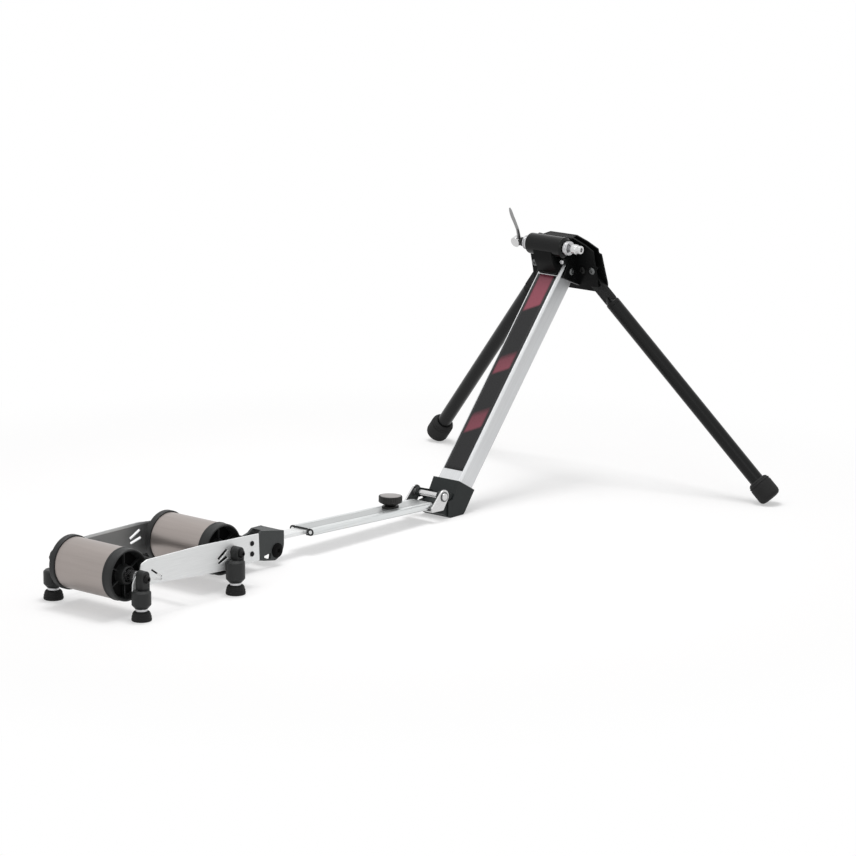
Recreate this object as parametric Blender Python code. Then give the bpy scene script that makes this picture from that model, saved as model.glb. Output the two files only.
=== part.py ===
"""Fork mount roller trainer: two drums on a low frame, an adjustable beam, and a folding post on two legs.

Metres, +Z up, floor at z = 0. +X points from the drums to the post, and +Y to the quick-release lever's side.
Lengths along X are written from the middle of the four roller feet; the root empty then shifts the whole
trainer, so that the origin lies on the floor under the middle of its length.
"""

import math

import bmesh
import bpy
from mathutils import Matrix, Vector

for thing in list(bpy.data.objects):
    bpy.data.objects.remove(thing, do_unlink=True)

GAP = 0.0003  # left between pieces that touch
NEAR, FAR = -1, 1  # sides of the trainer along Y

# Roller unit
FEET_X = 0.105  # half the feet's spacing along the trainer
FEET_Y = 0.098  # and across it
PAD_RADIUS = 0.016
PAD_HEIGHT = 0.0148
FOOT_BRACKET_RADIUS = 0.0155
LUG_HALF_WIDTH = 0.008
LUG_OUTER_Y = 0.1035
LUG_CROWN_Z = {"rear": 0.0697, "front": 0.0677}  # centre of its round top
PLATE_INNER_Y = 0.085
PLATE_THICK = 0.0025
DRUM_RADIUS = 0.0412
DRUM_Z = 0.0651
DRUM_X = {"rear": -0.099, "front": 0.112}
SHELL_NEAR_Y, SHELL_FAR_Y = -0.048, 0.057
SHELL_WALL = 0.0025
NEAR_CAP_WIDTH = 0.018
FAR_FLANGE_WIDTH = 0.0115
AXLE_RADIUS = 0.004
BEARING_RADIUS = 0.011
CROSSMEMBER_X, CROSSMEMBER_Z = 0.1545, 0.0623
CROSSMEMBER_DEPTH, CROSSMEMBER_HEIGHT = 0.018, 0.030
PLATE_SCREW_SPACING = 0.0172

# Coupling between the roller unit and the slider
COUPLING_Y = 0.026
CHEEK_THICK = 0.005
PIVOT_X, PIVOT_Z = 0.278, 0.0255
PIN_RADIUS = 0.005
COUPLING_FRONT_X, COUPLING_TOP_Z = 0.295, 0.056
ARM_TOP_Z = 0.0535

# Slider and beam: they slope down to the front
BEAM_REAR_X, BEAM_REAR_Z = 0.366, 0.044  # top edge of the beam's rear end
BEAM_LENGTH = 0.299
BEAM_HALF_WIDTH = 0.026
BEAM_HEIGHT = 0.012
WEB_THICK = 0.0025
SLIDER_HALF_WIDTH = 0.0137
SLIDER_THICK = 0.0066
SLIDER_FRONT = BEAM_LENGTH - 0.039  # slider's front end, along the beam from the beam's rear end
KNOB_ALONG = 0.2185
KNOB_RADIUS = 0.020

# Hinge between the beam and the post: the rod's height sets the beam's slope
ROD_Z = 0.0413
ROD_BEYOND, ROD_ABOVE = 0.0200, 0.0086  # from the front end of the beam's top face
ROD_ALONG = BEAM_LENGTH + ROD_BEYOND
ROD_DISTANCE = math.hypot(ROD_ALONG, ROD_ABOVE)
ROD_RISE = math.asin((ROD_Z - BEAM_REAR_Z) / ROD_DISTANCE)
BEAM_SLOPE = ROD_RISE - math.atan2(ROD_ABOVE, ROD_ALONG)
ROD_X = BEAM_REAR_X + ROD_DISTANCE * math.cos(ROD_RISE)
ROD_RADIUS = 0.00475
EAR_INNER_Y, EAR_THICK = 0.0300, 0.0032
EAR_RADIUS = 0.012

# Post: a square tube that leans forward
POST_ANGLE = math.radians(50.4)
POST_FOOT_X, POST_FOOT_Z = ROD_X + 0.0515, 0.0606  # on the rear face, where the tube enters the block
POST_HALF_WIDTH = 0.026
POST_DEPTH = 0.038
POST_WALL = 0.0025
POST_BEVEL = 0.0035
NOTCH_HALF_WIDTH = 0.0205
BLOCK_HALF_WIDTH = 0.029

# Fork clamp at the head
BARREL_X, BARREL_Z = ROD_X + 0.314, 0.4286
BARREL_RADIUS = 0.0182
BARREL_HALF_LENGTH = 0.040
SPACER_WIDTH = 0.010
SPACER_RADIUS = 0.0123
DROPOUT_WIDTH = 0.006
DUMMY_AXLE_RADIUS = 0.0045
SKEWER_RADIUS = 0.0025
CHEEK_INNER_Y = 0.0263
CHEEK_WIDTH = 0.0045

# Leg yoke and legs: both legs lie in one plane that leans back
LEG_PLANE_TILT = math.radians(14.1)
LEG_SPREAD = math.radians(41.45)
PIVOT_LEG_X, PIVOT_LEG_Y, PIVOT_LEG_Z = ROD_X + 0.3645, 0.042, 0.386
TANG_THICK = 0.008
YOKE_PLATE = 0.003
LEG_RADIUS = 0.0127
LEG_WALL = 0.0016
LEG_BOLT_RADIUS = 0.004
CAP_RADIUS = 0.0205
CAP_HALF_LENGTH = 0.020
CAP_ROUNDING = 0.008

REAR_REACH = DRUM_X["rear"] - DRUM_RADIUS
FRONT_REACH = ROD_X + 0.477
CENTRE_X = (REAR_REACH + FRONT_REACH) / 2


def material(name, colour, roughness, metallic):
    """A Principled material."""
    made = bpy.data.materials.new(name)
    made.use_nodes = True
    shader = made.node_tree.nodes["Principled BSDF"]
    shader.inputs["Base Color"].default_value = (*colour, 1)
    shader.inputs["Roughness"].default_value = roughness
    shader.inputs["Metallic"].default_value = metallic
    return made


SILVER = material("silver", (0.72, 0.73, 0.74), 0.35, 1.0)
STEEL = material("steel", (0.60, 0.60, 0.61), 0.25, 1.0)
TAUPE = material("taupe", (0.36, 0.33, 0.31), 0.40, 0.9)
BLACK_PAINT = material("black_paint", (0.012, 0.013, 0.013), 0.30, 0.0)
BLACK_PLASTIC = material("black_plastic", (0.020, 0.021, 0.021), 0.50, 0.0)
RUBBER = material("rubber", (0.015, 0.015, 0.015), 0.80, 0.0)


def body(name, place=(0, 0, 0)):
    """An empty at a moving body's joint. place is counted from the middle of the roller feet."""
    empty = bpy.data.objects.new(name, None)
    bpy.context.scene.collection.objects.link(empty)
    empty.location = place
    return empty


root = body("trainer", (-CENTRE_X, 0, 0))


def moving(name, place):
    """A body of the trainer that hangs on the root empty."""
    empty = body(name, place)
    empty.parent = root
    return empty


def piece(name, mesh, finish, owner):
    """Turns a bmesh, drawn in the trainer's frame, into a node of the body that owns it."""
    bmesh.ops.recalc_face_normals(mesh, faces=mesh.faces)
    mesh.transform(Matrix.Translation(-owner.location))
    data = bpy.data.meshes.new(name)
    mesh.to_mesh(data)
    mesh.free()
    data.shade_smooth()
    data.set_sharp_from_angle(angle=math.radians(35))
    data.materials.append(finish)
    node = bpy.data.objects.new(name, data)
    bpy.context.scene.collection.objects.link(node)
    node.parent = owner
    return node


def combine(node, mesh, operation):
    """Unites a node with another solid, or cuts that solid out of it."""
    tool = piece(node.name + "_tool", mesh, node.data.materials[0], node.parent)
    tool.hide_render = True
    tool.display_type = "WIRE"
    step = node.modifiers.new(operation.lower(), "BOOLEAN")
    step.operation = operation
    step.object = tool


def cut(node, mesh):
    combine(node, mesh, "DIFFERENCE")


def unite(node, mesh):
    combine(node, mesh, "UNION")


def arc(centre, radius, start, end, steps):
    """Points on an arc, from start to end in degrees."""
    turns = [math.radians(start + (end - start) * i / steps) for i in range(steps + 1)]
    return [(centre[0] + radius * math.cos(t), centre[1] + radius * math.sin(t)) for t in turns]


def circle(centre, radius, steps=16):
    """A closed ring of points."""
    return arc(centre, radius, 0, 360 * (steps - 1) / steps, steps - 1)


def slab(outline, low, high, axis="y", holes=()):
    """A flat outline, with holes, made solid between two places along an axis.

    The outline's two numbers are the other two axes in X, Y, Z order.
    """
    order = {"x": (2, 0, 1), "y": (0, 2, 1), "z": (0, 1, 2)}[axis]
    mesh = bmesh.new()
    edges = []
    for loop in (outline, *holes):
        ring = []
        for a, b in loop:
            flat = (a, b, low)
            ring.append(mesh.verts.new([flat[i] for i in order]))
        edges += [mesh.edges.new((ring[i - 1], ring[i])) for i in range(len(ring))]
    bmesh.ops.triangle_fill(mesh, use_beauty=True, edges=edges)
    grown = bmesh.ops.extrude_face_region(mesh, geom=mesh.faces[:])
    lift = [(0, 0, high - low)[i] for i in order]
    moved = [item for item in grown["geom"] if isinstance(item, bmesh.types.BMVert)]
    bmesh.ops.translate(mesh, vec=lift, verts=moved)
    return mesh


def box(low, high):
    """A box between two corners."""
    mesh = bmesh.new()
    bmesh.ops.create_cube(mesh, size=1)
    for v in mesh.verts:
        v.co = [low[i] + (high[i] - low[i]) * (v.co[i] + 0.5) for i in range(3)]
    return mesh


def turned(profile, place, direction, steps=24, closed=False):
    """A lathe-turned solid. profile holds (along, radius) points; a closed one goes round a bore."""
    frame = Matrix.Translation(place) @ Vector((0, 0, 1)).rotation_difference(Vector(direction)).to_matrix().to_4x4()
    mesh = bmesh.new()
    rings = []
    for along, radius in profile:
        if radius == 0:
            rings.append([mesh.verts.new(frame @ Vector((0, 0, along)))])
            continue
        turns = [2 * math.pi * i / steps for i in range(steps)]
        ring = [Vector((radius * math.cos(t), radius * math.sin(t), along)) for t in turns]
        rings.append([mesh.verts.new(frame @ point) for point in ring])
    pairs = list(zip(rings, rings[1:]))
    if closed:
        pairs.append((rings[-1], rings[0]))
    for one, two in pairs:
        for i in range(steps):
            corners = [one[i - 1 if len(one) > 1 else 0], one[i if len(one) > 1 else 0]]
            corners += [two[i if len(two) > 1 else 0], two[i - 1 if len(two) > 1 else 0]]
            mesh.faces.new(list(dict.fromkeys(corners)))
    return mesh


def rod(radius, start, end, place, direction, steps=24):
    """A plain round bar from start to end along its direction."""
    return turned([(start, 0), (start, radius), (end, radius), (end, 0)], place, direction, steps)


def ring(inner, outer, start, end, place, direction, steps=24):
    """A plain round tube."""
    profile = [(start, inner), (start, outer), (end, outer), (end, inner)]
    return turned(profile, place, direction, steps, closed=True)


ALONG_Y = (0, 1, 0)
UP = (0, 0, 1)


def side_plate(side, owner):
    """A long side plate: low and straight in front, hooked down round the rear foot bracket."""
    outline = [(-0.0932, 0.0856), (-0.0959, 0.0752), (-0.1043, 0.0687), (-0.1108, 0.0619), (-0.1127, 0.0560)]
    outline += [(-0.1130, 0.0419), (-0.1040, 0.0425), (-0.0980, 0.0470), (-0.0630, 0.0492), (0.0370, 0.0414)]
    outline += [(0.0960, 0.0387), (0.1720, 0.0402), (0.1705, 0.0842)]
    if side == NEAR:
        outline += [(0.0380, 0.0899), (-0.0800, 0.0902)]
        front_slots = [[(0.0753, 0.0614), (0.0801, 0.0577), (0.1001, 0.0707), (0.0952, 0.0743)]]
        front_slots += [[(0.0764, 0.0541), (0.0800, 0.0510), (0.0999, 0.0583), (0.0950, 0.0628)]]
    else:
        outline += [(0.0700, 0.0934), (-0.0800, 0.0930)]
        front_slots = [[(0.0522, 0.0712), (0.0545, 0.0676), (0.0765, 0.0786), (0.0742, 0.0822)]]
        front_slots += [[(0.0530, 0.0632), (0.0550, 0.0596), (0.0790, 0.0655), (0.0765, 0.0693)]]
    rear_slots = [[(-0.0727, 0.0717), (-0.0700, 0.0735), (-0.0483, 0.0585), (-0.0505, 0.0562)]]
    rear_slots += [[(-0.0730, 0.0592), (-0.0715, 0.0562), (-0.0500, 0.0520), (-0.0480, 0.0545)]]
    screws = [CROSSMEMBER_Z + s * PLATE_SCREW_SPACING / 2 for s in (-1, 1)]
    holes = front_slots + rear_slots
    holes += [circle((x, DRUM_Z), AXLE_RADIUS + GAP) for x in DRUM_X.values()]
    holes += [circle((CROSSMEMBER_X, z), 0.0026, 12) for z in screws]
    near, far = sorted((side * PLATE_INNER_Y, side * (PLATE_INNER_Y + PLATE_THICK)))
    name = "side_plate_near" if side == NEAR else "side_plate_far"
    piece(name, slab(outline, near, far, holes=holes), SILVER, owner)


def front_crossmember(owner):
    """The bar that holds the side plates apart at the front: deep ends for the screws, thin behind the drum."""
    x, z = CROSSMEMBER_X, CROSSMEMBER_Z
    depth, height = CROSSMEMBER_DEPTH / 2, CROSSMEMBER_HEIGHT / 2
    reach = PLATE_INNER_Y - GAP
    bar = piece("front_crossmember", box((x - depth, -reach, z - height), (x + depth, reach, z + height)),
                BLACK_PAINT, owner)
    end = reach - 0.010
    cut(bar, box((x - depth - 0.001, -end, z - height - 0.001), (x + depth - 0.006, end, z + height + 0.001)))
    screws = [CROSSMEMBER_Z + s * PLATE_SCREW_SPACING / 2 for s in (-1, 1)]
    for height in screws:
        for side in (NEAR, FAR):
            cut(bar, rod(0.0020, reach - 0.008, reach + 0.001, (x, 0, height), (0, side, 0), 12))


def cross_tie(owner):
    """The round tie between the side plates, in the gap between the drums."""
    reach = PLATE_INNER_Y - GAP
    piece("cross_tie", rod(0.006, -reach, reach, (0.012, 0, 0.056), ALONG_Y, 16), BLACK_PAINT, owner)


def coupling_bracket(owner):
    """The clevis on the crossmember: two cheeks, a top web that stops the slider, and a hollow arm."""
    arm_rear = CROSSMEMBER_X + CROSSMEMBER_DEPTH / 2 + GAP
    nose = arc((0.268, 0.036), 0.027, -2, -80, 8)
    low = [(0.2280, 0.0200), (0.2330, 0.0170), (0.2466, 0.0138), *reversed(nose), (COUPLING_FRONT_X, COUPLING_TOP_Z)]
    arm = [(arm_rear, ARM_TOP_Z), (arm_rear, 0.020)]
    far_cheek = [*arm, *low, (0.271, COUPLING_TOP_Z), (0.262, 0.050), (0.247, 0.046), (0.215, 0.046), (0.198, ARM_TOP_Z)]
    near_cheek = [*arm, *low, (0.2640, COUPLING_TOP_Z), (0.2466, ARM_TOP_Z)]
    window = [(0.2480, 0.0190), (0.2480, 0.0215), (0.2640, 0.0240), (0.2625, 0.0145), (0.2590, 0.0140)]
    eye = circle((PIVOT_X, PIVOT_Z), PIN_RADIUS + GAP)
    inner = COUPLING_Y - CHEEK_THICK
    bracket = piece("coupling_bracket", slab(near_cheek, -COUPLING_Y, -inner, holes=[window, eye]), BLACK_PAINT, owner)
    unite(bracket, slab(far_cheek, inner, COUPLING_Y, holes=[window, eye]))
    overlap = 0.002
    reach = inner + overlap
    unite(bracket, box((0.2715, -reach, COUPLING_TOP_Z - 0.004), (0.2945, reach, COUPLING_TOP_Z - 0.0002)))
    unite(bracket, box((arm_rear + 0.0002, -reach, 0.0205), (arm_rear + 0.004, reach, ARM_TOP_Z - 0.0005)))
    unite(bracket, box((arm_rear + 0.003, -reach, 0.0415), (0.243, reach, 0.0455)))
    head, shank = 0.0115, PIN_RADIUS
    outside = COUPLING_Y + GAP
    pin = [(-outside - 0.003, 0), (-outside - 0.003, head), (-outside, head), (-outside, shank)]
    pin += [(outside, shank), (outside, head), (outside + 0.003, head), (outside + 0.003, 0)]
    piece("coupling_pin", turned(pin, (PIVOT_X, 0, PIVOT_Z), ALONG_Y, 20), BLACK_PAINT, owner)


def foot(end, side, owner):
    """A foot: the moulded bracket outside the plate, its levelling stud and the rubber pad."""
    name = f"{end}_{'near' if side == NEAR else 'far'}"
    x = FEET_X if end == "front" else -FEET_X
    y = side * FEET_Y
    base, shoulder = 0.0193, 0.0480 if end == "rear" else 0.0555
    low = [(base, 0.0055), (base, 0.0100), (base + 0.006, FOOT_BRACKET_RADIUS)]
    low += [(shoulder - 0.002, FOOT_BRACKET_RADIUS), (shoulder, FOOT_BRACKET_RADIUS - 0.002), (shoulder, 0.0055)]
    bracket = piece("foot_bracket_" + name, turned(low, (x, y, 0), UP, 16, closed=True), BLACK_PLASTIC, owner)
    axle_x = DRUM_X[end]
    top = arc((axle_x, LUG_CROWN_Z[end]), LUG_HALF_WIDTH, 0, 180, 8)
    lug = [(axle_x + LUG_HALF_WIDTH, shoulder - 0.006), *top, (axle_x - LUG_HALF_WIDTH, shoulder - 0.006)]
    inner = PLATE_INNER_Y + PLATE_THICK + GAP
    near, far = sorted((side * inner, side * LUG_OUTER_Y))
    unite(bracket, slab(lug, near, far, holes=[circle((axle_x, DRUM_Z), AXLE_RADIUS + GAP)]))
    near, far = sorted((side * 0.070, side * inner))
    cut(bracket, box((x - 0.030, near, 0.0), (x + 0.030, far, 0.100)))
    collar = PAD_HEIGHT + GAP
    stud = [(0.0045, 0), (0.0045, 0.004), (collar, 0.004), (collar, 0.0095), (base - GAP, 0.0095)]
    stud += [(base - GAP, 0.004), (0.040, 0.004), (0.040, 0)]
    foot_body = moving("foot_" + name, (x, y, 0))
    piece("foot_stud_" + name, turned(stud, (x, y, 0), UP, 12), STEEL, foot_body)
    pad = [(0, 0), (0, PAD_RADIUS - 0.001), (0.001, PAD_RADIUS), (0.005, PAD_RADIUS), (0.0108, PAD_RADIUS - 0.0012)]
    pad += [(PAD_HEIGHT - 0.001, PAD_RADIUS - 0.0030), (PAD_HEIGHT, PAD_RADIUS - 0.0042)]
    pad += [(PAD_HEIGHT, 0.0043), (0.0042, 0.0043), (0.0042, 0)]
    piece("foot_pad_" + name, turned(pad, (x, y, 0), UP, 20), RUBBER, foot_body)


def drum(end, frame):
    """A drum: a tube between a thin far flange and a deep near cap, on two bearings round a fixed axle."""
    centre = (DRUM_X[end], 0, DRUM_Z)
    spinner = moving(f"drum_{end}", centre)
    shell_inner = DRUM_RADIUS - SHELL_WALL
    shell = ring(shell_inner, DRUM_RADIUS, SHELL_NEAR_Y, SHELL_FAR_Y, centre, ALONG_Y, 32)
    piece(f"drum_shell_{end}", shell, TAUPE, spinner)
    spigot = shell_inner - GAP
    seat = BEARING_RADIUS + GAP
    start = SHELL_FAR_Y + GAP
    stop = start + FAR_FLANGE_WIDTH
    flange = [(start - 0.008, seat), (start - 0.008, spigot), (start, spigot), (start, DRUM_RADIUS + 0.0015)]
    flange += [(start + 0.002, DRUM_RADIUS + 0.0025), (stop - 0.002, DRUM_RADIUS + 0.0025)]
    flange += [(stop, DRUM_RADIUS), (stop, 0.034), (stop - 0.004, 0.032), (stop - 0.004, seat)]
    piece(f"drum_far_flange_{end}", turned(flange, centre, ALONG_Y, 32, closed=True), BLACK_PLASTIC, spinner)
    start = SHELL_NEAR_Y - GAP
    stop = start - NEAR_CAP_WIDTH
    cap = [(start + 0.008, seat), (start + 0.008, spigot), (start, spigot), (start, DRUM_RADIUS + 0.0012)]
    cap += [(stop + 0.002, DRUM_RADIUS + 0.0004), (stop, DRUM_RADIUS - 0.0012), (stop, DRUM_RADIUS - 0.0032)]
    cap += [(start - 0.002, DRUM_RADIUS - 0.0058), (start - 0.002, 0.0150), (stop + 0.001, 0.0145), (stop + 0.001, seat)]
    piece(f"drum_near_cap_{end}", turned(cap, centre, ALONG_Y, 32, closed=True), BLACK_PLASTIC, spinner)
    bearings = {"far": SHELL_FAR_Y - 0.004, "near": SHELL_NEAR_Y - 0.004}
    for place, y in bearings.items():
        race = ring(AXLE_RADIUS + GAP, BEARING_RADIUS, y - 0.0035, y + 0.0035, centre, ALONG_Y, 16)
        piece(f"drum_bearing_{place}_{end}", race, STEEL, spinner)
    outside = LUG_OUTER_Y + GAP
    bolt = [(-outside - 0.005, 0), (-outside - 0.005, 0.0055), (-outside, 0.0065), (-outside, AXLE_RADIUS)]
    bolt += [(outside, AXLE_RADIUS), (outside, 0.0065), (outside + 0.005, 0.0055), (outside + 0.005, 0)]
    piece(f"drum_axle_{end}", turned(bolt, centre, ALONG_Y, 16), STEEL, frame)


BEAM_FRAME = Matrix.Translation((BEAM_REAR_X, 0, BEAM_REAR_Z)) @ Matrix.Rotation(-BEAM_SLOPE, 4, "Y")


def on_beam(mesh):
    """Carries a solid from the beam's own frame (X along it, top face at z = 0) into the trainer's."""
    mesh.transform(BEAM_FRAME)
    return mesh


def slider(owner):
    """The flat bar that slides in the beam, with the knuckle that hangs on the coupling pin."""
    pin = BEAM_FRAME.inverted() @ Vector((PIVOT_X, 0, PIVOT_Z))
    top = -WEB_THICK - GAP
    bottom = top - SLIDER_THICK
    outline = [(SLIDER_FRONT, bottom), (SLIDER_FRONT, top), (pin.x + 0.001, top)]
    outline += arc((pin.x, pin.z), top - pin.z, 92, 150, 6) + arc((pin.x, pin.z), 0.0095, 190, 345, 8)
    outline += [(pin.x + 0.022, bottom)]
    eye = circle((pin.x, pin.z), PIN_RADIUS + GAP)
    bar = on_beam(slab(outline, -SLIDER_HALF_WIDTH, SLIDER_HALF_WIDTH, holes=[eye]))
    piece("slider", bar, SILVER, owner)


def beam(owner):
    """The extruded beam: a web between two hollow round beads, with lips that hold the slider."""
    half, height = BEAM_HALF_WIDTH, BEAM_HEIGHT
    bead = height / 2
    centre = half - bead
    inside = centre - bead
    lip = -height + 0.002
    right = [*arc((centre, -bead), bead, 90, -90, 8), (inside - 0.004, -height), (inside - 0.004, lip)]
    right += [(inside, lip), (inside, -WEB_THICK)]
    outline = right + [(-y, z) for y, z in reversed(right)]
    bores = [circle((side * centre, -bead), 0.0034, 12) for side in (NEAR, FAR)]
    rail = piece("beam", on_beam(slab(outline, 0, BEAM_LENGTH, axis="x", holes=bores)), SILVER, owner)
    cut(rail, on_beam(rod(0.0045, -0.004, 0.004, (KNOB_ALONG, 0, 0), UP, 16)))


def clamp_knob(owner, beam_body):
    """The knob whose stud presses the slider, and the oval washer plate that it turns on."""
    plate = [(1.35 * a, b) for a, b in circle((0, 0), 0.0125, 24)]
    oval = [(KNOB_ALONG + a, b) for a, b in plate]
    hole = circle((KNOB_ALONG, 0), 0.0045)
    piece("knob_plate", on_beam(slab(oval, GAP, 0.0030, axis="z", holes=[hole])), BLACK_PLASTIC, beam_body)
    seat = 0.0030 + GAP
    profile = [(-WEB_THICK, 0), (-WEB_THICK, 0.004), (seat, 0.004), (seat, 0.0090), (0.0045, 0.0100)]
    profile += [(0.0105, KNOB_RADIUS - 0.0025), (0.0120, KNOB_RADIUS), (0.0220, KNOB_RADIUS)]
    profile += [(0.0240, KNOB_RADIUS - 0.0025), (0.0240, 0)]
    piece("clamp_knob", on_beam(turned(profile, (KNOB_ALONG, 0, 0), UP, 24)), BLACK_PLASTIC, owner)


def ear_bracket(owner):
    """The channel under the beam's front end, whose two ears carry the hinge rod."""
    eye_arc = arc((ROD_X, ROD_Z), EAR_RADIUS, 140, -20, 12)
    base = [BEAM_FRAME @ Vector((x, 0, -BEAM_HEIGHT - 0.0028)) for x in (BEAM_LENGTH - 0.020, BEAM_LENGTH + 0.016)]
    rear = BEAM_FRAME @ Vector((BEAM_LENGTH - 0.020, 0, -0.0005))
    outline = [(base[0].x, base[0].z), (rear.x, rear.z), *eye_arc, (base[1].x, base[1].z)]
    eye = circle((ROD_X, ROD_Z), ROD_RADIUS + GAP)
    outer = EAR_INNER_Y + EAR_THICK
    bracket = piece("ear_bracket", slab(outline, -outer, -EAR_INNER_Y, holes=[eye]), SILVER, owner)
    unite(bracket, slab(outline, EAR_INNER_Y, outer, holes=[eye]))
    reach = EAR_INNER_Y + 0.001
    floor = on_beam(box((BEAM_LENGTH - 0.0195, -reach, -BEAM_HEIGHT - 0.0027), (BEAM_LENGTH + 0.002, reach, -BEAM_HEIGHT - GAP)))
    unite(bracket, floor)
    end = outer + GAP
    profile = [(-end - 0.002, 0), (-end - 0.002, 0.0068), (-end, 0.0068), (-end, ROD_RADIUS)]
    profile += [(end, ROD_RADIUS), (end, 0.0068), (end + 0.002, 0.0068), (end + 0.002, 0)]
    piece("hinge_rod", turned(profile, (ROD_X, 0, ROD_Z), ALONG_Y, 20), STEEL, owner)


POST_FRAME = Matrix.Translation((POST_FOOT_X, 0, POST_FOOT_Z)) @ Matrix.Rotation(-POST_ANGLE, 4, "Y")


def on_post(mesh):
    """Carries a solid from the post's frame (X up the tube, rear face at z = 0, depth down) into the trainer's."""
    mesh.transform(POST_FRAME)
    return mesh


LEG_FRAME = Matrix.Translation((PIVOT_LEG_X, 0, PIVOT_LEG_Z)) @ Matrix.Rotation(-LEG_PLANE_TILT, 4, "Y")


def in_leg_plane(mesh):
    """Carries a solid from the legs' plane (X forward off it, Z up it, z = 0 at the pivots) into the trainer's."""
    mesh.transform(LEG_FRAME)
    return mesh


def base_block(owner):
    """The moulded block that the post stands in: its foot lies on the floor, two tabs hold the hinge rod."""
    corners = [(0.044, 0.0605), (0.084, 0.0380), (0.059, 0.0040), (0.055, 0), (0.021, 0), (0.004, 0.0100)]
    corners += [(0.002, 0.0270), (0.027, 0.0310)]
    corners = [(ROD_X + along, up) for along, up in corners]
    block = piece("base_block", slab(corners, -BLOCK_HALF_WIDTH, BLOCK_HALF_WIDTH), BLACK_PLASTIC, owner)
    trim = BLOCK_HALF_WIDTH + 0.001
    for side in (NEAR, FAR):
        near, far = sorted((side * 0.0264, side * trim))
        cut(block, box((ROD_X - 0.015, near, -0.010), (ROD_X + 0.0155, far, 0.060)))
    tab = [(ROD_X + 0.031, 0.034), (ROD_X + 0.031, 0.0405), *arc((ROD_X, ROD_Z), 0.0082, 60, 290, 10)]
    tab += [(ROD_X + 0.015, 0.0290)]
    eye = circle((ROD_X, ROD_Z), ROD_RADIUS + GAP)
    for side in (NEAR, FAR):
        near, far = sorted((side * 0.0215, side * 0.0262))
        unite(block, slab(tab, near, far, holes=[eye]))
    half = POST_HALF_WIDTH + GAP
    socket = on_post(box((-0.020, -half, -POST_DEPTH - GAP), (0.060, half, GAP)))
    cut(block, socket)


def post(owner):
    """The square tube: bevelled corners, its rear wall cut back at the top, its end mitred to the yoke."""
    half, depth, bevel, wall = POST_HALF_WIDTH, POST_DEPTH, POST_BEVEL, POST_WALL
    side = [(half, -bevel), (half, -depth + bevel), (half - bevel, -depth)]
    outline = [(half - bevel, 0), *side, *[(-y, z) for y, z in reversed(side)], (-half + bevel, 0)]
    inner = [(half - wall, -wall), (half - wall, wall - depth), (wall - half, wall - depth), (wall - half, -wall)]
    tube = on_post(slab(outline, -0.020 + GAP, 0.490, axis="x", holes=[inner]))
    tube = piece("post", tube, SILVER, owner)
    notch_start = 0.4125
    notch = on_post(box((notch_start, -NOTCH_HALF_WIDTH, -wall - 0.001), (0.600, NOTCH_HALF_WIDTH, 0.001)))
    cut(tube, notch)
    behind = -TANG_THICK / 2 - YOKE_PLATE - 2 * GAP
    cut(tube, in_leg_plane(box((behind, -0.060, -0.120), (0.150, 0.060, 0.120))))


def saddle(owner):
    """The casting between the barrel and the post: it lies in the gap of the post's rear wall."""
    under = arc((BARREL_X, BARREL_Z), BARREL_RADIUS + GAP, 205, 335, 10)
    lift = Vector((-math.sin(POST_ANGLE), 0, math.cos(POST_ANGLE))) * GAP
    foot_point = POST_FRAME @ Vector((0.4130, 0, 0)) + lift
    top_point = POST_FRAME @ Vector((0.4480, 0, 0)) + lift
    outline = [*under, (top_point.x, top_point.z), (foot_point.x, foot_point.z)]
    outline += [(BARREL_X - 0.0100, BARREL_Z - 0.0316), (BARREL_X - 0.0145, BARREL_Z - 0.0226)]
    half = NOTCH_HALF_WIDTH - GAP
    casting = piece("saddle", slab(outline, -half, half), BLACK_PAINT, owner)
    inside = half - 0.0002
    unite(casting, on_post(box((0.4130, -inside, -0.012), (0.4440, inside, 0.004))))


def cheek(side, owner):
    """A side cheek: it ties the barrel, the post's side wall and the yoke together."""
    back = -TANG_THICK / 2 - YOKE_PLATE - 2 * GAP
    high = LEG_FRAME @ Vector((back, 0, 0.0585))
    low = LEG_FRAME @ Vector((back, 0, -0.0305))
    around = arc((BARREL_X, BARREL_Z), BARREL_RADIUS + GAP, -42, 62, 10)
    foot = [(BARREL_X + 0.0035, BARREL_Z - 0.0546), (BARREL_X + 0.0190, BARREL_Z - 0.0301)]
    crown = (BARREL_X + 0.0120, BARREL_Z + 0.0179)
    outline = [*foot, *around, crown, (high.x, high.z), (low.x, low.z), (PIVOT_LEG_X - 0.0191, PIVOT_LEG_Z - 0.0240)]
    near, far = sorted((side * CHEEK_INNER_Y, side * (CHEEK_INNER_Y + CHEEK_WIDTH)))
    name = "head_cheek_near" if side == NEAR else "head_cheek_far"
    piece(name, slab(outline, near, far), BLACK_PAINT, owner)


def barrel(owner):
    """The barrel that stands in for a hub, its two spacers and the hollow axle that the fork drops onto."""
    centre = (BARREL_X, 0, BARREL_Z)
    end, chamfer, bore = BARREL_HALF_LENGTH, 0.0025, DUMMY_AXLE_RADIUS + GAP
    profile = [(-end, bore), (-end, BARREL_RADIUS - chamfer), (-end + chamfer, BARREL_RADIUS)]
    profile += [(end - chamfer, BARREL_RADIUS), (end, BARREL_RADIUS - chamfer), (end, bore)]
    piece("barrel", turned(profile, centre, ALONG_Y, 32, closed=True), BLACK_PAINT, owner)
    for side, name in ((NEAR, "near"), (FAR, "far")):
        start = end + GAP
        stop = end + SPACER_WIDTH
        tube = ring(bore, SPACER_RADIUS, start, stop, centre, (0, side, 0), 24)
        piece(f"spacer_{name}", tube, STEEL, owner)
    reach = end + SPACER_WIDTH + DROPOUT_WIDTH - 0.001
    axle = ring(SKEWER_RADIUS + GAP, DUMMY_AXLE_RADIUS, -reach, reach, centre, ALONG_Y, 20)
    piece("dummy_axle", axle, STEEL, owner)


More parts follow.
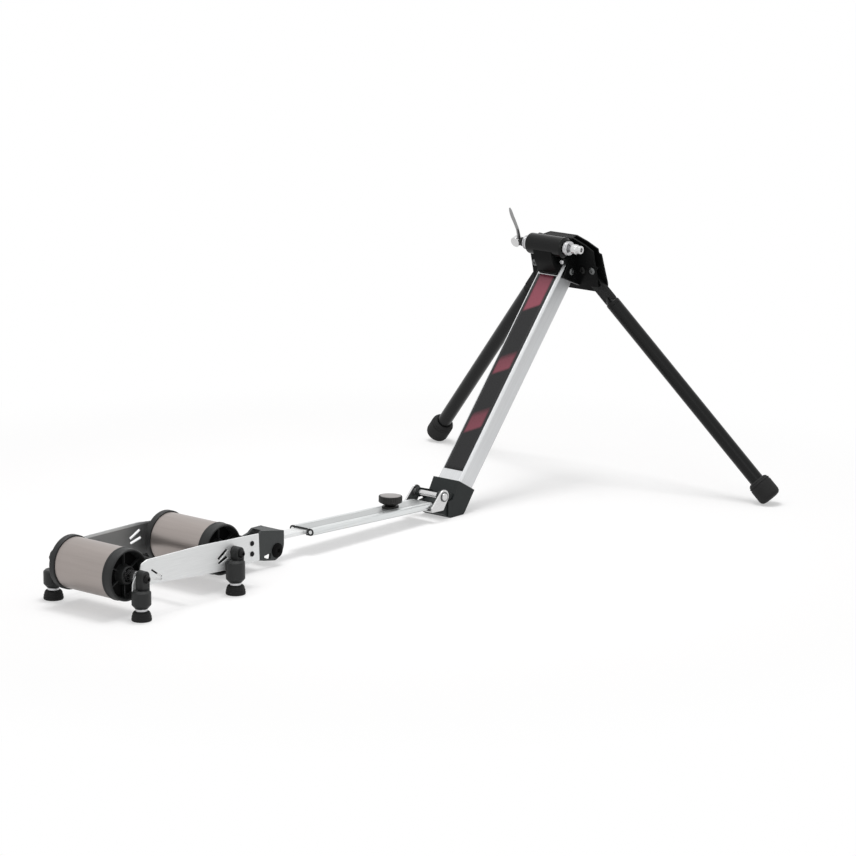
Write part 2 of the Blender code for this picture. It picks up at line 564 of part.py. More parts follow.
def quick_release(owner):
    """The skewer: a rod through the axle, a nut on the near side and a cam lever on the far side."""
    centre = (BARREL_X, 0, BARREL_Z)
    clamp = BARREL_HALF_LENGTH + SPACER_WIDTH + DROPOUT_WIDTH
    far_face = clamp + 0.005
    piece("skewer_rod", rod(SKEWER_RADIUS, -0.0745, far_face - 0.001, centre, ALONG_Y, 12), STEEL, owner)
    housing = ring(SKEWER_RADIUS + GAP, 0.0080, clamp, far_face, centre, ALONG_Y, 20)
    piece("cam_washer", housing, BLACK_PLASTIC, owner)
    nut_body = moving("qr_nut_body", centre)
    nut = [(clamp, SKEWER_RADIUS + GAP), (clamp, 0.0085), (0.0665, 0.0085), (0.0680, 0.0072), (0.0765, 0.0072)]
    nut += [(0.0780, 0.0060), (0.0780, SKEWER_RADIUS + GAP)]
    piece("qr_nut", turned(nut, centre, (0, NEAR, 0), 24, closed=True), STEEL, nut_body)
    lean = math.radians(19.3)
    across = Vector((math.cos(lean), 0, math.sin(lean)))
    along = Vector((-math.sin(lean), 0, math.cos(lean)))
    cam = 0.0090
    hub = Vector(centre) + Vector((0, far_face + GAP + cam, 0))
    lever_body = moving("qr_lever_body", hub)
    lever = piece("qr_lever", rod(cam, -0.0070, 0.0070, hub, across, 24), STEEL, lever_body)
    inner = [(0.000, -0.0085), (0.012, -0.0090), (0.024, -0.0090), (0.036, -0.0068), (0.050, -0.0035)]
    inner += [(0.0635, -0.0020)]
    outer = [(0.0645, 0.0010), (0.050, -0.0005), (0.036, -0.0038), (0.024, -0.0058), (0.012, -0.0050)]
    outer += [(0.006, 0.0000)]
    mesh = slab(inner + outer, -0.0045, 0.0045, axis="z")
    turn = Matrix((along, Vector((0, 1, 0)), across)).transposed().to_4x4()
    mesh.transform(Matrix.Translation(hub) @ turn)
    unite(lever, mesh)


YOKE_LOW_FRONT, YOKE_LOW_REAR = -0.0440, -0.0290


def yoke(owner):
    """The leg yoke: a small rear plate and a wider front plate, folded from one sheet over the top."""
    half_tang = TANG_THICK / 2 + GAP
    outer = half_tang + YOKE_PLATE
    holes = []
    for side in (NEAR, FAR):
        holes.append(circle((side * PIVOT_LEG_Y, 0), LEG_BOLT_RADIUS + GAP))
        holes.append(circle((side * STOP_BOLT[0], STOP_BOLT[1]), LEG_BOLT_RADIUS + GAP))
    front_side = [(0.030, 0.0590), (0.0529, 0.0500), (0.0739, 0.0385), (0.0741, 0.0310), (0.0797, 0.0290)]
    front_side += [(0.0815, 0.0010), (0.0835, -0.0255), (0.0800, YOKE_LOW_FRONT)]
    front = front_side + [(-y, z) for y, z in reversed(front_side)]
    rear_side = [(0.030, 0.0590), (0.0560, 0.0480), (0.0720, 0.0380), (0.0725, YOKE_LOW_REAR)]
    rear = rear_side + [(-y, z) for y, z in reversed(rear_side)]
    plate = in_leg_plane(slab(front, half_tang, outer, axis="x", holes=holes))
    plate = piece("leg_yoke", plate, BLACK_PAINT, owner)
    unite(plate, in_leg_plane(slab(rear, -outer, -half_tang, axis="x", holes=holes)))
    unite(plate, in_leg_plane(box((-outer + 0.0002, -0.0299, 0.0560), (outer - 0.0002, 0.0299, 0.0588))))


OUTWARD = (PIVOT_LEG_Y + 0.0137 * math.sin(LEG_SPREAD), -0.0137 * math.cos(LEG_SPREAD))
STOP_REACH = LEG_RADIUS + LEG_BOLT_RADIUS + GAP
STOP_BOLT = (OUTWARD[0] + STOP_REACH * math.cos(LEG_SPREAD), OUTWARD[1] + STOP_REACH * math.sin(LEG_SPREAD))


def yoke_bolts(owner):
    """On each side the pivot bolt of the leg, and the bolt that stops it when it is spread."""
    half = TANG_THICK / 2 + YOKE_PLATE + 2 * GAP
    for side, name in ((NEAR, "near"), (FAR, "far")):
        for what, (y, z) in (("pivot", (PIVOT_LEG_Y, 0)), ("stop", STOP_BOLT)):
            shank = LEG_BOLT_RADIUS
            profile = [(-half - 0.003, 0), (-half - 0.003, 0.0052), (-half, 0.0065), (-half, shank)]
            profile += [(half, shank), (half, 0.0065), (half + 0.003, 0.0052), (half + 0.003, 0)]
            bolt = in_leg_plane(turned(profile, (0, side * y, z), (1, 0, 0), 16))
            piece(f"leg_{what}_bolt_{name}", bolt, BLACK_PAINT, owner)


def leg(side):
    """A leg: a cast lug that turns in the yoke, the tube plugged onto it and a rubber cap on the floor."""
    name = "near" if side == NEAR else "far"
    pivot = LEG_FRAME @ Vector((0, side * PIVOT_LEG_Y, 0))
    owner = moving(f"leg_{name}", pivot)
    down = Matrix.Translation((0, side * PIVOT_LEG_Y, 0)) @ Matrix.Rotation(side * LEG_SPREAD, 4, "X")
    down = LEG_FRAME @ down @ Matrix.Rotation(math.pi, 4, "X")
    axis = down.to_3x3() @ Vector((0, 0, 1))

    half = TANG_THICK / 2
    tang_end = 0.078
    tube_start = 0.083
    inside_tube = LEG_RADIUS - LEG_WALL - GAP
    tang = [*arc((0, 0), LEG_RADIUS, 180, 360, 10), (LEG_RADIUS, tang_end), (-LEG_RADIUS, tang_end)]
    mesh = slab(tang, -half, half, axis="x", holes=[circle((0, 0), LEG_BOLT_RADIUS + GAP)])
    mesh.transform(down)
    lug = piece(f"leg_lug_{name}", mesh, BLACK_PAINT, owner)
    neck = [(0.064, 0), (0.064, 0.0040), (0.077, LEG_RADIUS), (tube_start, LEG_RADIUS)]
    neck += [(tube_start, inside_tube), (tube_start + 0.020, inside_tube), (tube_start + 0.020, 0)]
    shoulder = turned(neck, (0, 0, 0), UP, 24)
    shoulder.transform(down)
    unite(lug, shoulder)

    steep = -axis.z
    flat = math.sqrt(1 - steep * steep)
    low = steep * (CAP_HALF_LENGTH - CAP_ROUNDING) + flat * (CAP_RADIUS - CAP_ROUNDING) + CAP_ROUNDING
    reach = (pivot.z - low) / steep
    tube = ring(LEG_RADIUS - LEG_WALL, LEG_RADIUS, tube_start + GAP, reach + 0.008, (0, 0, 0), UP, 24)
    tube.transform(down)
    piece(f"leg_tube_{name}", tube, BLACK_PAINT, owner)
    foot_end = reach + CAP_HALF_LENGTH
    mouth = reach - CAP_HALF_LENGTH
    rounding = arc((foot_end - CAP_ROUNDING, CAP_RADIUS - CAP_ROUNDING), CAP_ROUNDING, 90, 0, 4)
    cap = [(foot_end, 0), *reversed(rounding), (mouth + 0.006, CAP_RADIUS), (mouth + 0.002, CAP_RADIUS - 0.0022)]
    cap += [(mouth, CAP_RADIUS - 0.0050), (mouth, LEG_RADIUS + GAP), (reach + 0.008 + GAP, LEG_RADIUS + GAP)]
    cap += [(reach + 0.008 + GAP, 0)]
    mesh = turned(cap, (0, 0, 0), UP, 20)
    mesh.transform(down)
    piece(f"leg_cap_{name}", mesh, RUBBER, owner)


def build():
    """All bodies, from the drums forward."""
    frame = moving("roller_frame", (0, 0, 0))
    for side in (NEAR, FAR):
        side_plate(side, frame)
    front_crossmember(frame)
    cross_tie(frame)
    coupling_bracket(frame)
    for end in ("rear", "front"):
        for side in (NEAR, FAR):
            foot(end, side, frame)
        drum(end, frame)
    slider(moving("slider_body", (PIVOT_X, 0, PIVOT_Z)))
    beam_body = moving("beam_body", (BEAM_REAR_X, 0, BEAM_REAR_Z))
    beam(beam_body)
    ear_bracket(beam_body)
    clamp_knob(moving("knob_body", BEAM_FRAME @ Vector((KNOB_ALONG, 0, 0))), beam_body)
    post_body = moving("post_body", (ROD_X, 0, ROD_Z))
    base_block(post_body)
    post(post_body)
    saddle(post_body)
    barrel(post_body)
    quick_release(post_body)
    for side in (NEAR, FAR):
        cheek(side, post_body)
        leg(side)
    yoke(post_body)
    yoke_bolts(post_body)


build()
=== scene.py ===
"""Looks of the fork mount roller trainer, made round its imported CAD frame.

Metres. Lengths along X are written from the middle of the four roller feet, and put() carries them to the
frame.
"""

import math

import bmesh
import bpy
import numpy as np
from mathutils import Matrix, Vector


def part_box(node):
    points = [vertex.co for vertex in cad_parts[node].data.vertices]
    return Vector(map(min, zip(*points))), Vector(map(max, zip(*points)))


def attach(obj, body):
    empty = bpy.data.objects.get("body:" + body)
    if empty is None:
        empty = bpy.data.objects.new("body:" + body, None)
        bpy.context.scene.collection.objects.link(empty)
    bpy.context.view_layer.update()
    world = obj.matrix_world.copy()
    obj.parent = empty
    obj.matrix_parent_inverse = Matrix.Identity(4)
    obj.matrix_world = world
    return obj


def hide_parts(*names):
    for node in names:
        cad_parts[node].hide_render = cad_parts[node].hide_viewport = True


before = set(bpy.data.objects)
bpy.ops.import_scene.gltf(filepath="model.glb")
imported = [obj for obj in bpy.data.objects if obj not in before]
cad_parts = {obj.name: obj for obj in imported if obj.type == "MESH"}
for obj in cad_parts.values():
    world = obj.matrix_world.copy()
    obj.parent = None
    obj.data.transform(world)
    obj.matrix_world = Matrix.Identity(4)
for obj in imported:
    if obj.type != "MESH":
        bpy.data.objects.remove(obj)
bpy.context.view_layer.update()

# The studio.
# A white floor and a white surround under overhead lamps, as in a catalogue picture. The camera is far off
# and a little above, on the near side behind the drums. The floor keeps shadows, and is white further out.

rear_foot, front_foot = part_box("foot_pad_rear_near"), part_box("foot_pad_front_far")
FEET = (rear_foot[0][0] + front_foot[1][0]) / 2
YAW, PITCH = math.radians(-48.938), math.radians(12.667)
CAMERA_BACK, CAMERA_ASIDE, CAMERA_HEIGHT = 4.3722, 4.4024, 1.6634
SENSOR_WIDTH, FOCAL_LENGTH = 36, 170.40  # in millimetres
SHADOW_END, WHITE_START = 0.75, 1.25  # from the middle of the floor
FLOOR_HALF, FLOOR_DROP = 12, 0.0004

lens = bpy.data.cameras.new("camera")
lens.sensor_width, lens.lens = SENSOR_WIDTH, FOCAL_LENGTH
camera = bpy.data.objects.new("camera", lens)
camera.location = (FEET - CAMERA_BACK, -CAMERA_ASIDE, CAMERA_HEIGHT)
camera.rotation_euler = (math.pi / 2 - PITCH, 0, YAW)
bpy.context.scene.collection.objects.link(camera)
bpy.context.scene.camera = camera
bpy.context.scene.view_settings.view_transform = "Standard"


def empty_tree(holder):
    """Clears a node tree, and returns its maker of links and a maker of nodes with their values."""
    holder.use_nodes = True
    tree = holder.node_tree
    tree.nodes.clear()

    def make(kind, **values):
        """A node, with values for its inputs or its settings."""
        node = tree.nodes.new(kind)
        for key, value in values.items():
            name = key.replace("_", " ")
            if name in node.inputs:
                node.inputs[name].default_value = value
            else:
                setattr(node, key, value)
        return node

    return tree.links.new, make


def reckoned(link, make, operation, *values):
    """What a Math node gives for its inputs, which are sockets and numbers."""
    node = make("ShaderNodeMath", operation=operation)
    for value, into in zip(values, node.inputs):
        if isinstance(value, float):
            into.default_value = value
        else:
            link(value, into)
    return node.outputs[0]


def seen_or_not(link, make, unseen, seen, output):
    """One shader for light that bounces, another for the camera, for reflections and for what glass shows."""
    path = make("ShaderNodeLightPath").outputs
    either = path["Is Camera Ray"]
    for ray in ("Is Glossy Ray", "Is Transmission Ray"):
        either = reckoned(link, make, "MAXIMUM", either, path[ray])
    mix = make("ShaderNodeMixShader")
    link(either, mix.inputs["Fac"])
    link(unseen.outputs[0], mix.inputs[1])
    link(seen.outputs[0], mix.inputs[2])
    link(mix.outputs[0], make(output).inputs["Surface"])


surround = bpy.data.worlds.new("surround")
bpy.context.scene.world = surround
link, make = empty_tree(surround)
fill = make("ShaderNodeBackground", Color=(1.0, 1.0, 1.0, 1), Strength=0.33)
white = make("ShaderNodeBackground", Color=(1, 1, 1, 1), Strength=1.0)
seen_or_not(link, make, fill, white, "ShaderNodeOutputWorld")


def softbox(name, power, width, height, place, target):
    """A rectangular lamp at a place, turned to a target."""
    light = bpy.data.lights.new(name, "AREA")
    light.shape = "RECTANGLE"
    light.size, light.size_y = width, height
    light.energy = power
    lamp = bpy.data.objects.new(name, light)
    lamp.location = (FEET + place[0], place[1], place[2])
    aim = Vector((FEET + target[0], target[1], target[2])) - lamp.location
    lamp.rotation_euler = aim.to_track_quat("-Z", "Y").to_euler()
    bpy.context.scene.collection.objects.link(lamp)


softbox("overhead", 34, 0.9, 0.9, (0.62, 0.0, 3.0), (0.62, 0.0, 0.0))
softbox("ceiling", 30, 3.0, 2.6, (0.40, 0.0, 3.0), (0.40, 0.0, 0.0))
softbox("side", 10, 2.4, 1.4, (-1.2, -3.2, 1.5), (0.5, 0.0, 0.2))

paper = bpy.data.materials.new("white_floor")
link, make = empty_tree(paper)
bounce = make("ShaderNodeBsdfDiffuse", Color=(0.80, 0.80, 0.80, 1))
lit = make("ShaderNodeBsdfDiffuse", Color=(0.60, 0.595, 0.595, 1))
glow = make("ShaderNodeEmission", Color=(0.45, 0.45, 0.45, 1), Strength=1.0)
under = make("ShaderNodeAddShader")
link(lit.outputs[0], under.inputs[0])
link(glow.outputs[0], under.inputs[1])
spot = make("ShaderNodeTexCoord")
away = make("ShaderNodeVectorMath", operation="LENGTH")
link(spot.outputs["Object"], away.inputs[0])
fade = make("ShaderNodeMapRange", interpolation_type="SMOOTHSTEP", From_Min=SHADOW_END, From_Max=WHITE_START)
link(away.outputs["Value"], fade.inputs["Value"])
plain = make("ShaderNodeEmission", Color=(1, 1, 1, 1), Strength=1.0)
shown = make("ShaderNodeMixShader")
link(fade.outputs[0], shown.inputs["Fac"])
link(under.outputs[0], shown.inputs[1])
link(plain.outputs[0], shown.inputs[2])
seen_or_not(link, make, bounce, shown, "ShaderNodeOutputMaterial")
ground = bpy.data.meshes.new("floor")
corners = [(x * FLOOR_HALF, y * FLOOR_HALF, 0) for x, y in ((-1, -1), (1, -1), (1, 1), (-1, 1))]
ground.from_pydata(corners, [], [(0, 1, 2, 3)])
ground.materials.append(paper)
floor = bpy.data.objects.new("floor", ground)
floor.location.z = -FLOOR_DROP
bpy.context.scene.collection.objects.link(floor)

# Side plates.
# Two long plates of aluminium, satin finished, that carry the drums between them. They are cut to outline
# with slanting slots, and screwed to the crossmember in front.

NEAR, FAR = -1, 1
SIDES = ((NEAR, "near"), (FAR, "far"))
PLATE_INNER_Y, PLATE_THICK = 0.085, 0.0025
DRUM_Z = 0.0651
DRUM_X = {"rear": -0.099, "front": 0.112}
AXLE_HOLE = 0.0043
SHARP = math.radians(35)  # between two faces whose edge stays sharp, on every piece
SATIN = ((0.73, 0.74, 0.74), (0.81, 0.82, 0.82))


def shader(name, colour, roughness, metallic=0.0, specular=0.5):
    """A Principled material: returns it, then its makers of links and nodes, and its shader."""
    made = bpy.data.materials.new(name)
    link, make = empty_tree(made)
    looks = {"Base_Color": (*colour, 1), "Roughness": roughness, "Metallic": metallic}
    surface = make("ShaderNodeBsdfPrincipled", **looks, Specular_IOR_Level=specular)
    link(surface.outputs[0], make("ShaderNodeOutputMaterial").inputs["Surface"])
    return made, link, make, surface


def grain(link, make, surface, cells, bump, rough, colours=None, turn=0.0):
    """Noise on Object coordinates lifts the surface, and sets its roughness and its colour between two tones.

    cells are per metre, the same on each axis or one for each, after a turn about Y.
    """
    place = make("ShaderNodeTexCoord")
    turned_back = make("ShaderNodeMapping", Rotation=(0, turn, 0))
    link(place.outputs["Object"], turned_back.inputs["Vector"])
    mapping = make("ShaderNodeMapping", Scale=(cells,) * 3 if isinstance(cells, int) else cells)
    link(turned_back.outputs[0], mapping.inputs["Vector"])
    noise = make("ShaderNodeTexNoise", Scale=1.0, Detail=4.0, Roughness=0.6)
    link(mapping.outputs[0], noise.inputs["Vector"])
    lift = make("ShaderNodeBump", Strength=bump, Distance=0.0001)
    link(noise.outputs["Fac"], lift.inputs["Height"])
    link(lift.outputs[0], surface.inputs["Normal"])
    low, high = 0.3, 0.7  # nearly all of the noise lies between these
    spread = make("ShaderNodeMapRange", From_Min=low, From_Max=high, To_Min=rough[0], To_Max=rough[1])
    link(noise.outputs["Fac"], spread.inputs["Value"])
    link(spread.outputs[0], surface.inputs["Roughness"])
    if colours:
        ramp = make("ShaderNodeValToRGB")
        for stop, at, tone in zip(ramp.color_ramp.elements, (low, high), colours):
            stop.position = at
            stop.color = (*tone, 1)
        link(noise.outputs["Fac"], ramp.inputs["Fac"])
        link(ramp.outputs[0], surface.inputs["Base Color"])


def grained(name, tones, roughness, cells, bump, rough, metallic=0.0, specular=0.5, turn=0.0):
    """A shader whose colour is grain between two tones."""
    made, *parts = shader(name, tones[0], roughness, metallic, specular)
    grain(*parts, cells, bump, rough, tones, turn)
    return made


def paint_shade(link, make, surface, axis, start, end, share, above=None):
    """Painted shade: base colour times a share nearer than start on an axis, 1 beyond end and over a height.
    """
    split = make("ShaderNodeSeparateXYZ")
    link(make("ShaderNodeTexCoord").outputs["Object"], split.inputs[0])
    beside = reckoned(link, make, "ABSOLUTE", split.outputs[axis])
    change = make("ShaderNodeMapRange", From_Min=start, From_Max=end, To_Min=share, To_Max=1.0)
    link(beside, change.inputs["Value"])
    change = change.outputs[0]
    if above:
        top = make("ShaderNodeMapRange", From_Min=above, From_Max=above + 0.0015)
        link(split.outputs["Z"], top.inputs["Value"])
        change = reckoned(link, make, "MAXIMUM", change, top.outputs[0])
    tone = make("ShaderNodeVectorMath", operation="SCALE")
    link(surface.inputs["Base Color"].links[0].from_socket, tone.inputs[0])
    link(change, tone.inputs["Scale"])
    link(tone.outputs[0], surface.inputs["Base Color"])


satin_plate, *parts = shader("satin_plate", SATIN[0], 0.50, 0.85)
grain(*parts, (30, 700, 900), 0.15, (0.46, 0.58), SATIN)
# Painted shade: the plates' inner faces are darkened as the drums' shade falls there; not their top edge.
shaded_inner_face = (PLATE_INNER_Y + 0.0003, PLATE_INNER_Y + 0.0008)
paint_shade(*parts, "Y", *shaded_inner_face, 0.42, above=0.0872)  # all but the plates' top edge


def arc(centre, radius, start, end, steps=12):
    """Points at a radius from a centre, at even turns from start to end in degrees."""
    turns = np.radians(np.linspace(start, end, steps + 1))
    ring = [centre[0] + radius * np.cos(turns), centre[1] + radius * np.sin(turns)]
    return np.stack(ring, axis=-1).tolist()


def circle(centre, radius, steps=32):
    """A closed ring of points."""
    return arc(centre, radius, 0, 360 - 360 / steps, steps - 1)


def soften(corners, radius, closed=True, steps=4):
    """Rounds a flat outline: every corner gives way to an arc that touches its two sides.

    The arc starts radius / tan(half the corner's angle) from the corner, or less where a side is short. A
    third number in a corner is its own radius. Corners that are almost straight stay.
    """
    nearly_straight, most_of_side = math.radians(84), 0.48
    given = np.array([c if len(c) > 2 else (*c, radius) for c in corners], float)
    point, wanted = given[:, :2], given[:, 2].copy()
    if not closed:
        wanted[[0, -1]] = 0
    before, after = np.roll(point, 1, axis=0) - point, np.roll(point, -1, axis=0) - point
    near, far = np.linalg.norm(before, axis=1), np.linalg.norm(after, axis=1)
    before, after = before / near[:, None], after / far[:, None]
    half = np.arccos(np.clip((before * after).sum(axis=1), -1, 1)) / 2
    wanted[half > nearly_straight] = 0
    back = np.minimum(wanted / np.tan(half), most_of_side * np.minimum(near, far))
    size = back * np.tan(half)
    middle = before + after
    middle /= np.maximum(np.linalg.norm(middle, axis=1), 1e-9)[:, None]
    centre = point + middle * (size / np.sin(half))[:, None]
    start, stop = point + before * back[:, None] - centre, point + after * back[:, None] - centre
    turn = np.arctan2(start[:, 0] * stop[:, 1] - start[:, 1] * stop[:, 0], (start * stop).sum(axis=1))
    angle = np.arctan2(start[:, 1], start[:, 0])[:, None] + turn[:, None] * np.linspace(0, 1, steps + 1)
    rounded = centre[:, None] + size[:, None, None] * np.stack([np.cos(angle), np.sin(angle)], axis=-1)
    rounded = rounded.reshape(-1, 2)
    keep = np.linalg.norm(rounded - np.roll(rounded, 1, axis=0), axis=1) > 2e-6
    return rounded[keep | (np.arange(len(keep)) == 0)]


ACROSS = Matrix(((1, 0, 0, 0), (0, 0, 1, 0), (0, 1, 0, 0), (0, 0, 0, 1)))  # (a, b, along) to (X, Z, Y)


def plate(outline, low, high, place=ACROSS, holes=(), edge=0.0004):
    """A flat outline with holes, made thick between two places, its rims rounded by a quarter circle."""
    curve = bpy.data.curves.new("plate", "CURVE")
    curve.dimensions, curve.fill_mode = "2D", "BOTH"
    curve.extrude = (high - low) / 2 - edge
    curve.bevel_depth, curve.offset = edge, -edge
    curve.bevel_resolution = 2
    for loop in (outline, *holes):
        flat = np.array(loop, float)[:, :2]
        spline = curve.splines.new("POLY")
        spline.points.add(len(flat) - 1)
        plain = np.column_stack([flat, np.zeros(len(flat)), np.ones(len(flat))])
        spline.points.foreach_set("co", plain.ravel())
        spline.use_cyclic_u = True
    holder = bpy.data.objects.new("plate", curve)
    bpy.context.scene.collection.objects.link(holder)
    bpy.context.view_layer.update()
    mesh = bpy.data.meshes.new_from_object(holder.evaluated_get(bpy.context.evaluated_depsgraph_get()))
    bpy.data.objects.remove(holder)
    bpy.data.curves.remove(curve)
    mesh.transform(place @ Matrix.Translation((0, 0, (low + high) / 2)))
    return mesh


def put(name, meshes, finish, body, nodes=(), place=None, moved=True):
    """Makes one piece of its meshes: doubles merged, faces turned out, in the place of its CAD nodes."""
    work = bmesh.new()
    for mesh in meshes if isinstance(meshes, list) else [meshes]:
        if place:
            mesh.transform(place)
        work.from_mesh(mesh)
        bpy.data.meshes.remove(mesh)
    bmesh.ops.remove_doubles(work, verts=work.verts, dist=2e-6)
    bmesh.ops.dissolve_degenerate(work, edges=work.edges, dist=1e-6)
    bmesh.ops.recalc_face_normals(work, faces=work.faces)
    if moved:
        bmesh.ops.translate(work, vec=(FEET, 0, 0), verts=work.verts)
    made = bpy.data.meshes.new(name)
    work.to_mesh(made)
    work.free()
    made.shade_smooth()
    made.set_sharp_from_angle(angle=SHARP)
    made.materials.append(finish)
    piece = bpy.data.objects.new(name, made)
    bpy.context.scene.collection.objects.link(piece)
    even = piece.modifiers.new("even_shading", "WEIGHTED_NORMAL")
    even.keep_sharp = True
    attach(piece, body)
    if nodes:
        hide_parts(*nodes)
    return piece


edge_below = [(-0.0932, 0.0856, 0.006), (-0.0959, 0.0752, 0.006), (-0.1043, 0.0687, 0.012)]
edge_below += [(-0.1108, 0.0619, 0.012), (-0.1127, 0.0560, 0.010), (-0.1130, 0.0419, 0.002)]
edge_below += [(-0.1040, 0.0425, 0.003), (-0.0980, 0.0470, 0.005), (-0.0630, 0.0492, 0.020)]
edge_below += [(0.0370, 0.0414, 0.030), (0.0960, 0.0387, 0.030)]
edge_below += [(0.1720, 0.0402, 0.001), (0.1705, 0.0842, 0.001)]
edge_above = {"near": [(0.0380, 0.0899, 0.020), (-0.0800, 0.0902, 0.005)]}
edge_above["far"] = [(0.0700, 0.0934, 0.020), (-0.0800, 0.0930, 0.005)]
slots = {"near": [[(0.0753, 0.0614), (0.0801, 0.0577), (0.1001, 0.0707), (0.0952, 0.0743)]]}
slots["near"] += [[(0.0764, 0.0541), (0.0800, 0.0510), (0.0999, 0.0583), (0.0950, 0.0628)]]
slots["far"] = [[(0.0522, 0.0712), (0.0545, 0.0676), (0.0765, 0.0786), (0.0742, 0.0822)]]
slots["far"] += [[(0.0530, 0.0632), (0.0550, 0.0596), (0.0790, 0.0655), (0.0765, 0.0693)]]
rear_slots = [[(-0.0727, 0.0717), (-0.0700, 0.0735), (-0.0483, 0.0585), (-0.0505, 0.0562)]]
rear_slots += [[(-0.0730, 0.0592), (-0.0715, 0.0562), (-0.0500, 0.0520), (-0.0480, 0.0545)]]
for side, name in SIDES:
    low, high = sorted((side * PLATE_INNER_Y, side * (PLATE_INNER_Y + PLATE_THICK)))
    holes = [soften(loop, 0.0006) for loop in slots[name] + rear_slots]
    holes += [circle((x, DRUM_Z), AXLE_HOLE) for x in DRUM_X.values()]
    outline = soften(edge_below + edge_above[name], 0.004)
    mesh = plate(outline, low, high, holes=holes, edge=0.0005)
    put(f"side_plate_{name}_satin", mesh, satin_plate, "roller_frame", [f"side_plate_{name}"])

# Crossmember and tie.
# A flat steel bar with two returned ends holds the plates apart in front, and a round tie does so between the
# drums. Both are powder coated. Two black screws at each end go through the plate into the bar.

CROSSMEMBER_X, CROSSMEMBER_Z = 0.1545, 0.0623
CROSS_REACH = PLATE_INNER_Y - 0.0003
TIE_MIDDLE = (0.012, 0, 0.056)
UPRIGHT = Matrix.Identity(4)  # (a, b, along) to (X, Y, Z)
COATED = ((0.006, 0.006, 0.006), (0.010, 0.010, 0.010))
X, Y, Z = (1, 0, 0), (0, 1, 0), (0, 0, 1)

coated = grained("black_powder_coat", COATED, 0.36, 900, 0.20, (0.28, 0.44), specular=0.16)


def around(axis):
    """The turn that takes Z to an axis."""
    return Vector(Z).rotation_difference(Vector(axis)).to_matrix()


def grid(points, across=True, along=False):
    """Quads through a grid of points (rows, columns, 3), closed across its columns, its rows, or both."""
    rows, columns = points.shape[:2]
    index = np.arange(rows * columns).reshape(rows, columns)
    one, two = (index, np.roll(index, -1, axis=0)) if along else (index[:-1], index[1:])
    if across:
        quads = np.stack([one, np.roll(one, -1, axis=1), np.roll(two, -1, axis=1), two], axis=-1)
    else:
        quads = np.stack([one[:, :-1], one[:, 1:], two[:, 1:], two[:, :-1]], axis=-1)
    mesh = bpy.data.meshes.new("grid")
    mesh.from_pydata(points.reshape(-1, 3).tolist(), [], quads.reshape(-1, 4).tolist())
    return mesh


def lathe(corners, centre=(0, 0, 0), axis=Z, edge=0.0004, closed=False, steps=64, shape=None):
    """A turned form: (along, radius) corners, rounded, at every turn about the axis.

    closed goes round a bore. shape(along, radius, turn) changes the radius, for flutes and sockets.
    """
    profile = soften(corners, edge, closed=closed, steps=3)
    turn = np.linspace(0, 2 * math.pi, steps, endpoint=False)[None, :]
    along, radius = (np.repeat(profile[:, i : i + 1], steps, axis=1) for i in (0, 1))
    if shape:
        radius = shape(along, radius, turn)
    points = np.stack([radius * np.cos(turn), radius * np.sin(turn), along], axis=-1)
    return grid(points @ np.array(around(axis)).T + np.array(centre), along=closed)


def mirrored(half):
    """Half an outline or a profile, and then its mirror image, backwards."""
    return half + [(-a, *rest) for a, *rest in reversed(half)]


def bolt_head(base, axis, radius, height, socket):
    """A button head with a six-sided socket, whose wall is at s cos 30 / cos(turn from a flat's middle)."""
    rim = [(0, 0), (0, radius), (height * 0.45, radius, radius * 0.2), (height, radius * 0.62, radius * 0.25)]
    well = [(height, socket * 1.12), (height - 0.0002, socket), (height * 0.35, socket), (height * 0.25, 0)]

    def six_sided(along, size, turn):
        """The head's radius, with the socket's flats in it."""
        flat = np.cos(math.pi / 6) / np.cos((turn % (math.pi / 3)) - math.pi / 6)
        return np.where((size < socket * 1.01) & (along > height * 0.3), size * flat, size)

    return lathe(rim + well, base, axis, edge=0.0002, steps=48, shape=six_sided)


returned = CROSS_REACH - 0.010  # where the bar's ends turn back
bar = [(-0.009, -CROSS_REACH), (0.009, -CROSS_REACH), (0.009, CROSS_REACH), (-0.009, CROSS_REACH)]
bar += [(-0.009, returned), (0.003, returned, 0.004), (0.003, -returned, 0.004), (-0.009, -returned)]
bar = [(CROSSMEMBER_X + x, *rest) for x, *rest in bar]
mesh = plate(soften(bar, 0.0008), CROSSMEMBER_Z - 0.015, CROSSMEMBER_Z + 0.015, UPRIGHT, edge=0.0008)
put("crossmember_coated", mesh, coated, "roller_frame", ["front_crossmember"])
tie = mirrored([(-CROSS_REACH, 0), (-CROSS_REACH, 0.006), (-0.0760, 0.006), (-0.0750, 0.0050)])
tie = lathe(tie, TIE_MIDDLE, Y)
put("tie_coated", tie, coated, "roller_frame", ["cross_tie"])
for side, name in SIDES:
    face = side * (PLATE_INNER_Y + PLATE_THICK)
    places = [(CROSSMEMBER_X, face, CROSSMEMBER_Z + z) for z in (-0.0086, 0.0086)]
    heads = [bolt_head(place, (0, side, 0), 0.0042, 0.0022, 0.0018) for place in places]
    put(f"crossmember_screws_{name}", heads, coated, "roller_frame")

# Drums.
# Two aluminium tubes with a satin taupe finish, closed by moulded ends: a thin flange on the far side and a
# deep, ribbed cap on the near side. Each drum turns on two sealed bearings round a fixed axle bolt.

DRUM_RADIUS, DRUM_WALL = 0.0412, 0.0025
SPIGOT, SEAT = 0.0384, 0.0113
BEARING_Y = {"far": 0.053, "near": -0.052}
TAUPE = ((0.345, 0.308, 0.290), (0.375, 0.335, 0.316))
MOULDED = ((0.018, 0.019, 0.019), (0.028, 0.029, 0.029))
ZINC = ((0.44, 0.44, 0.45), (0.56, 0.56, 0.57))

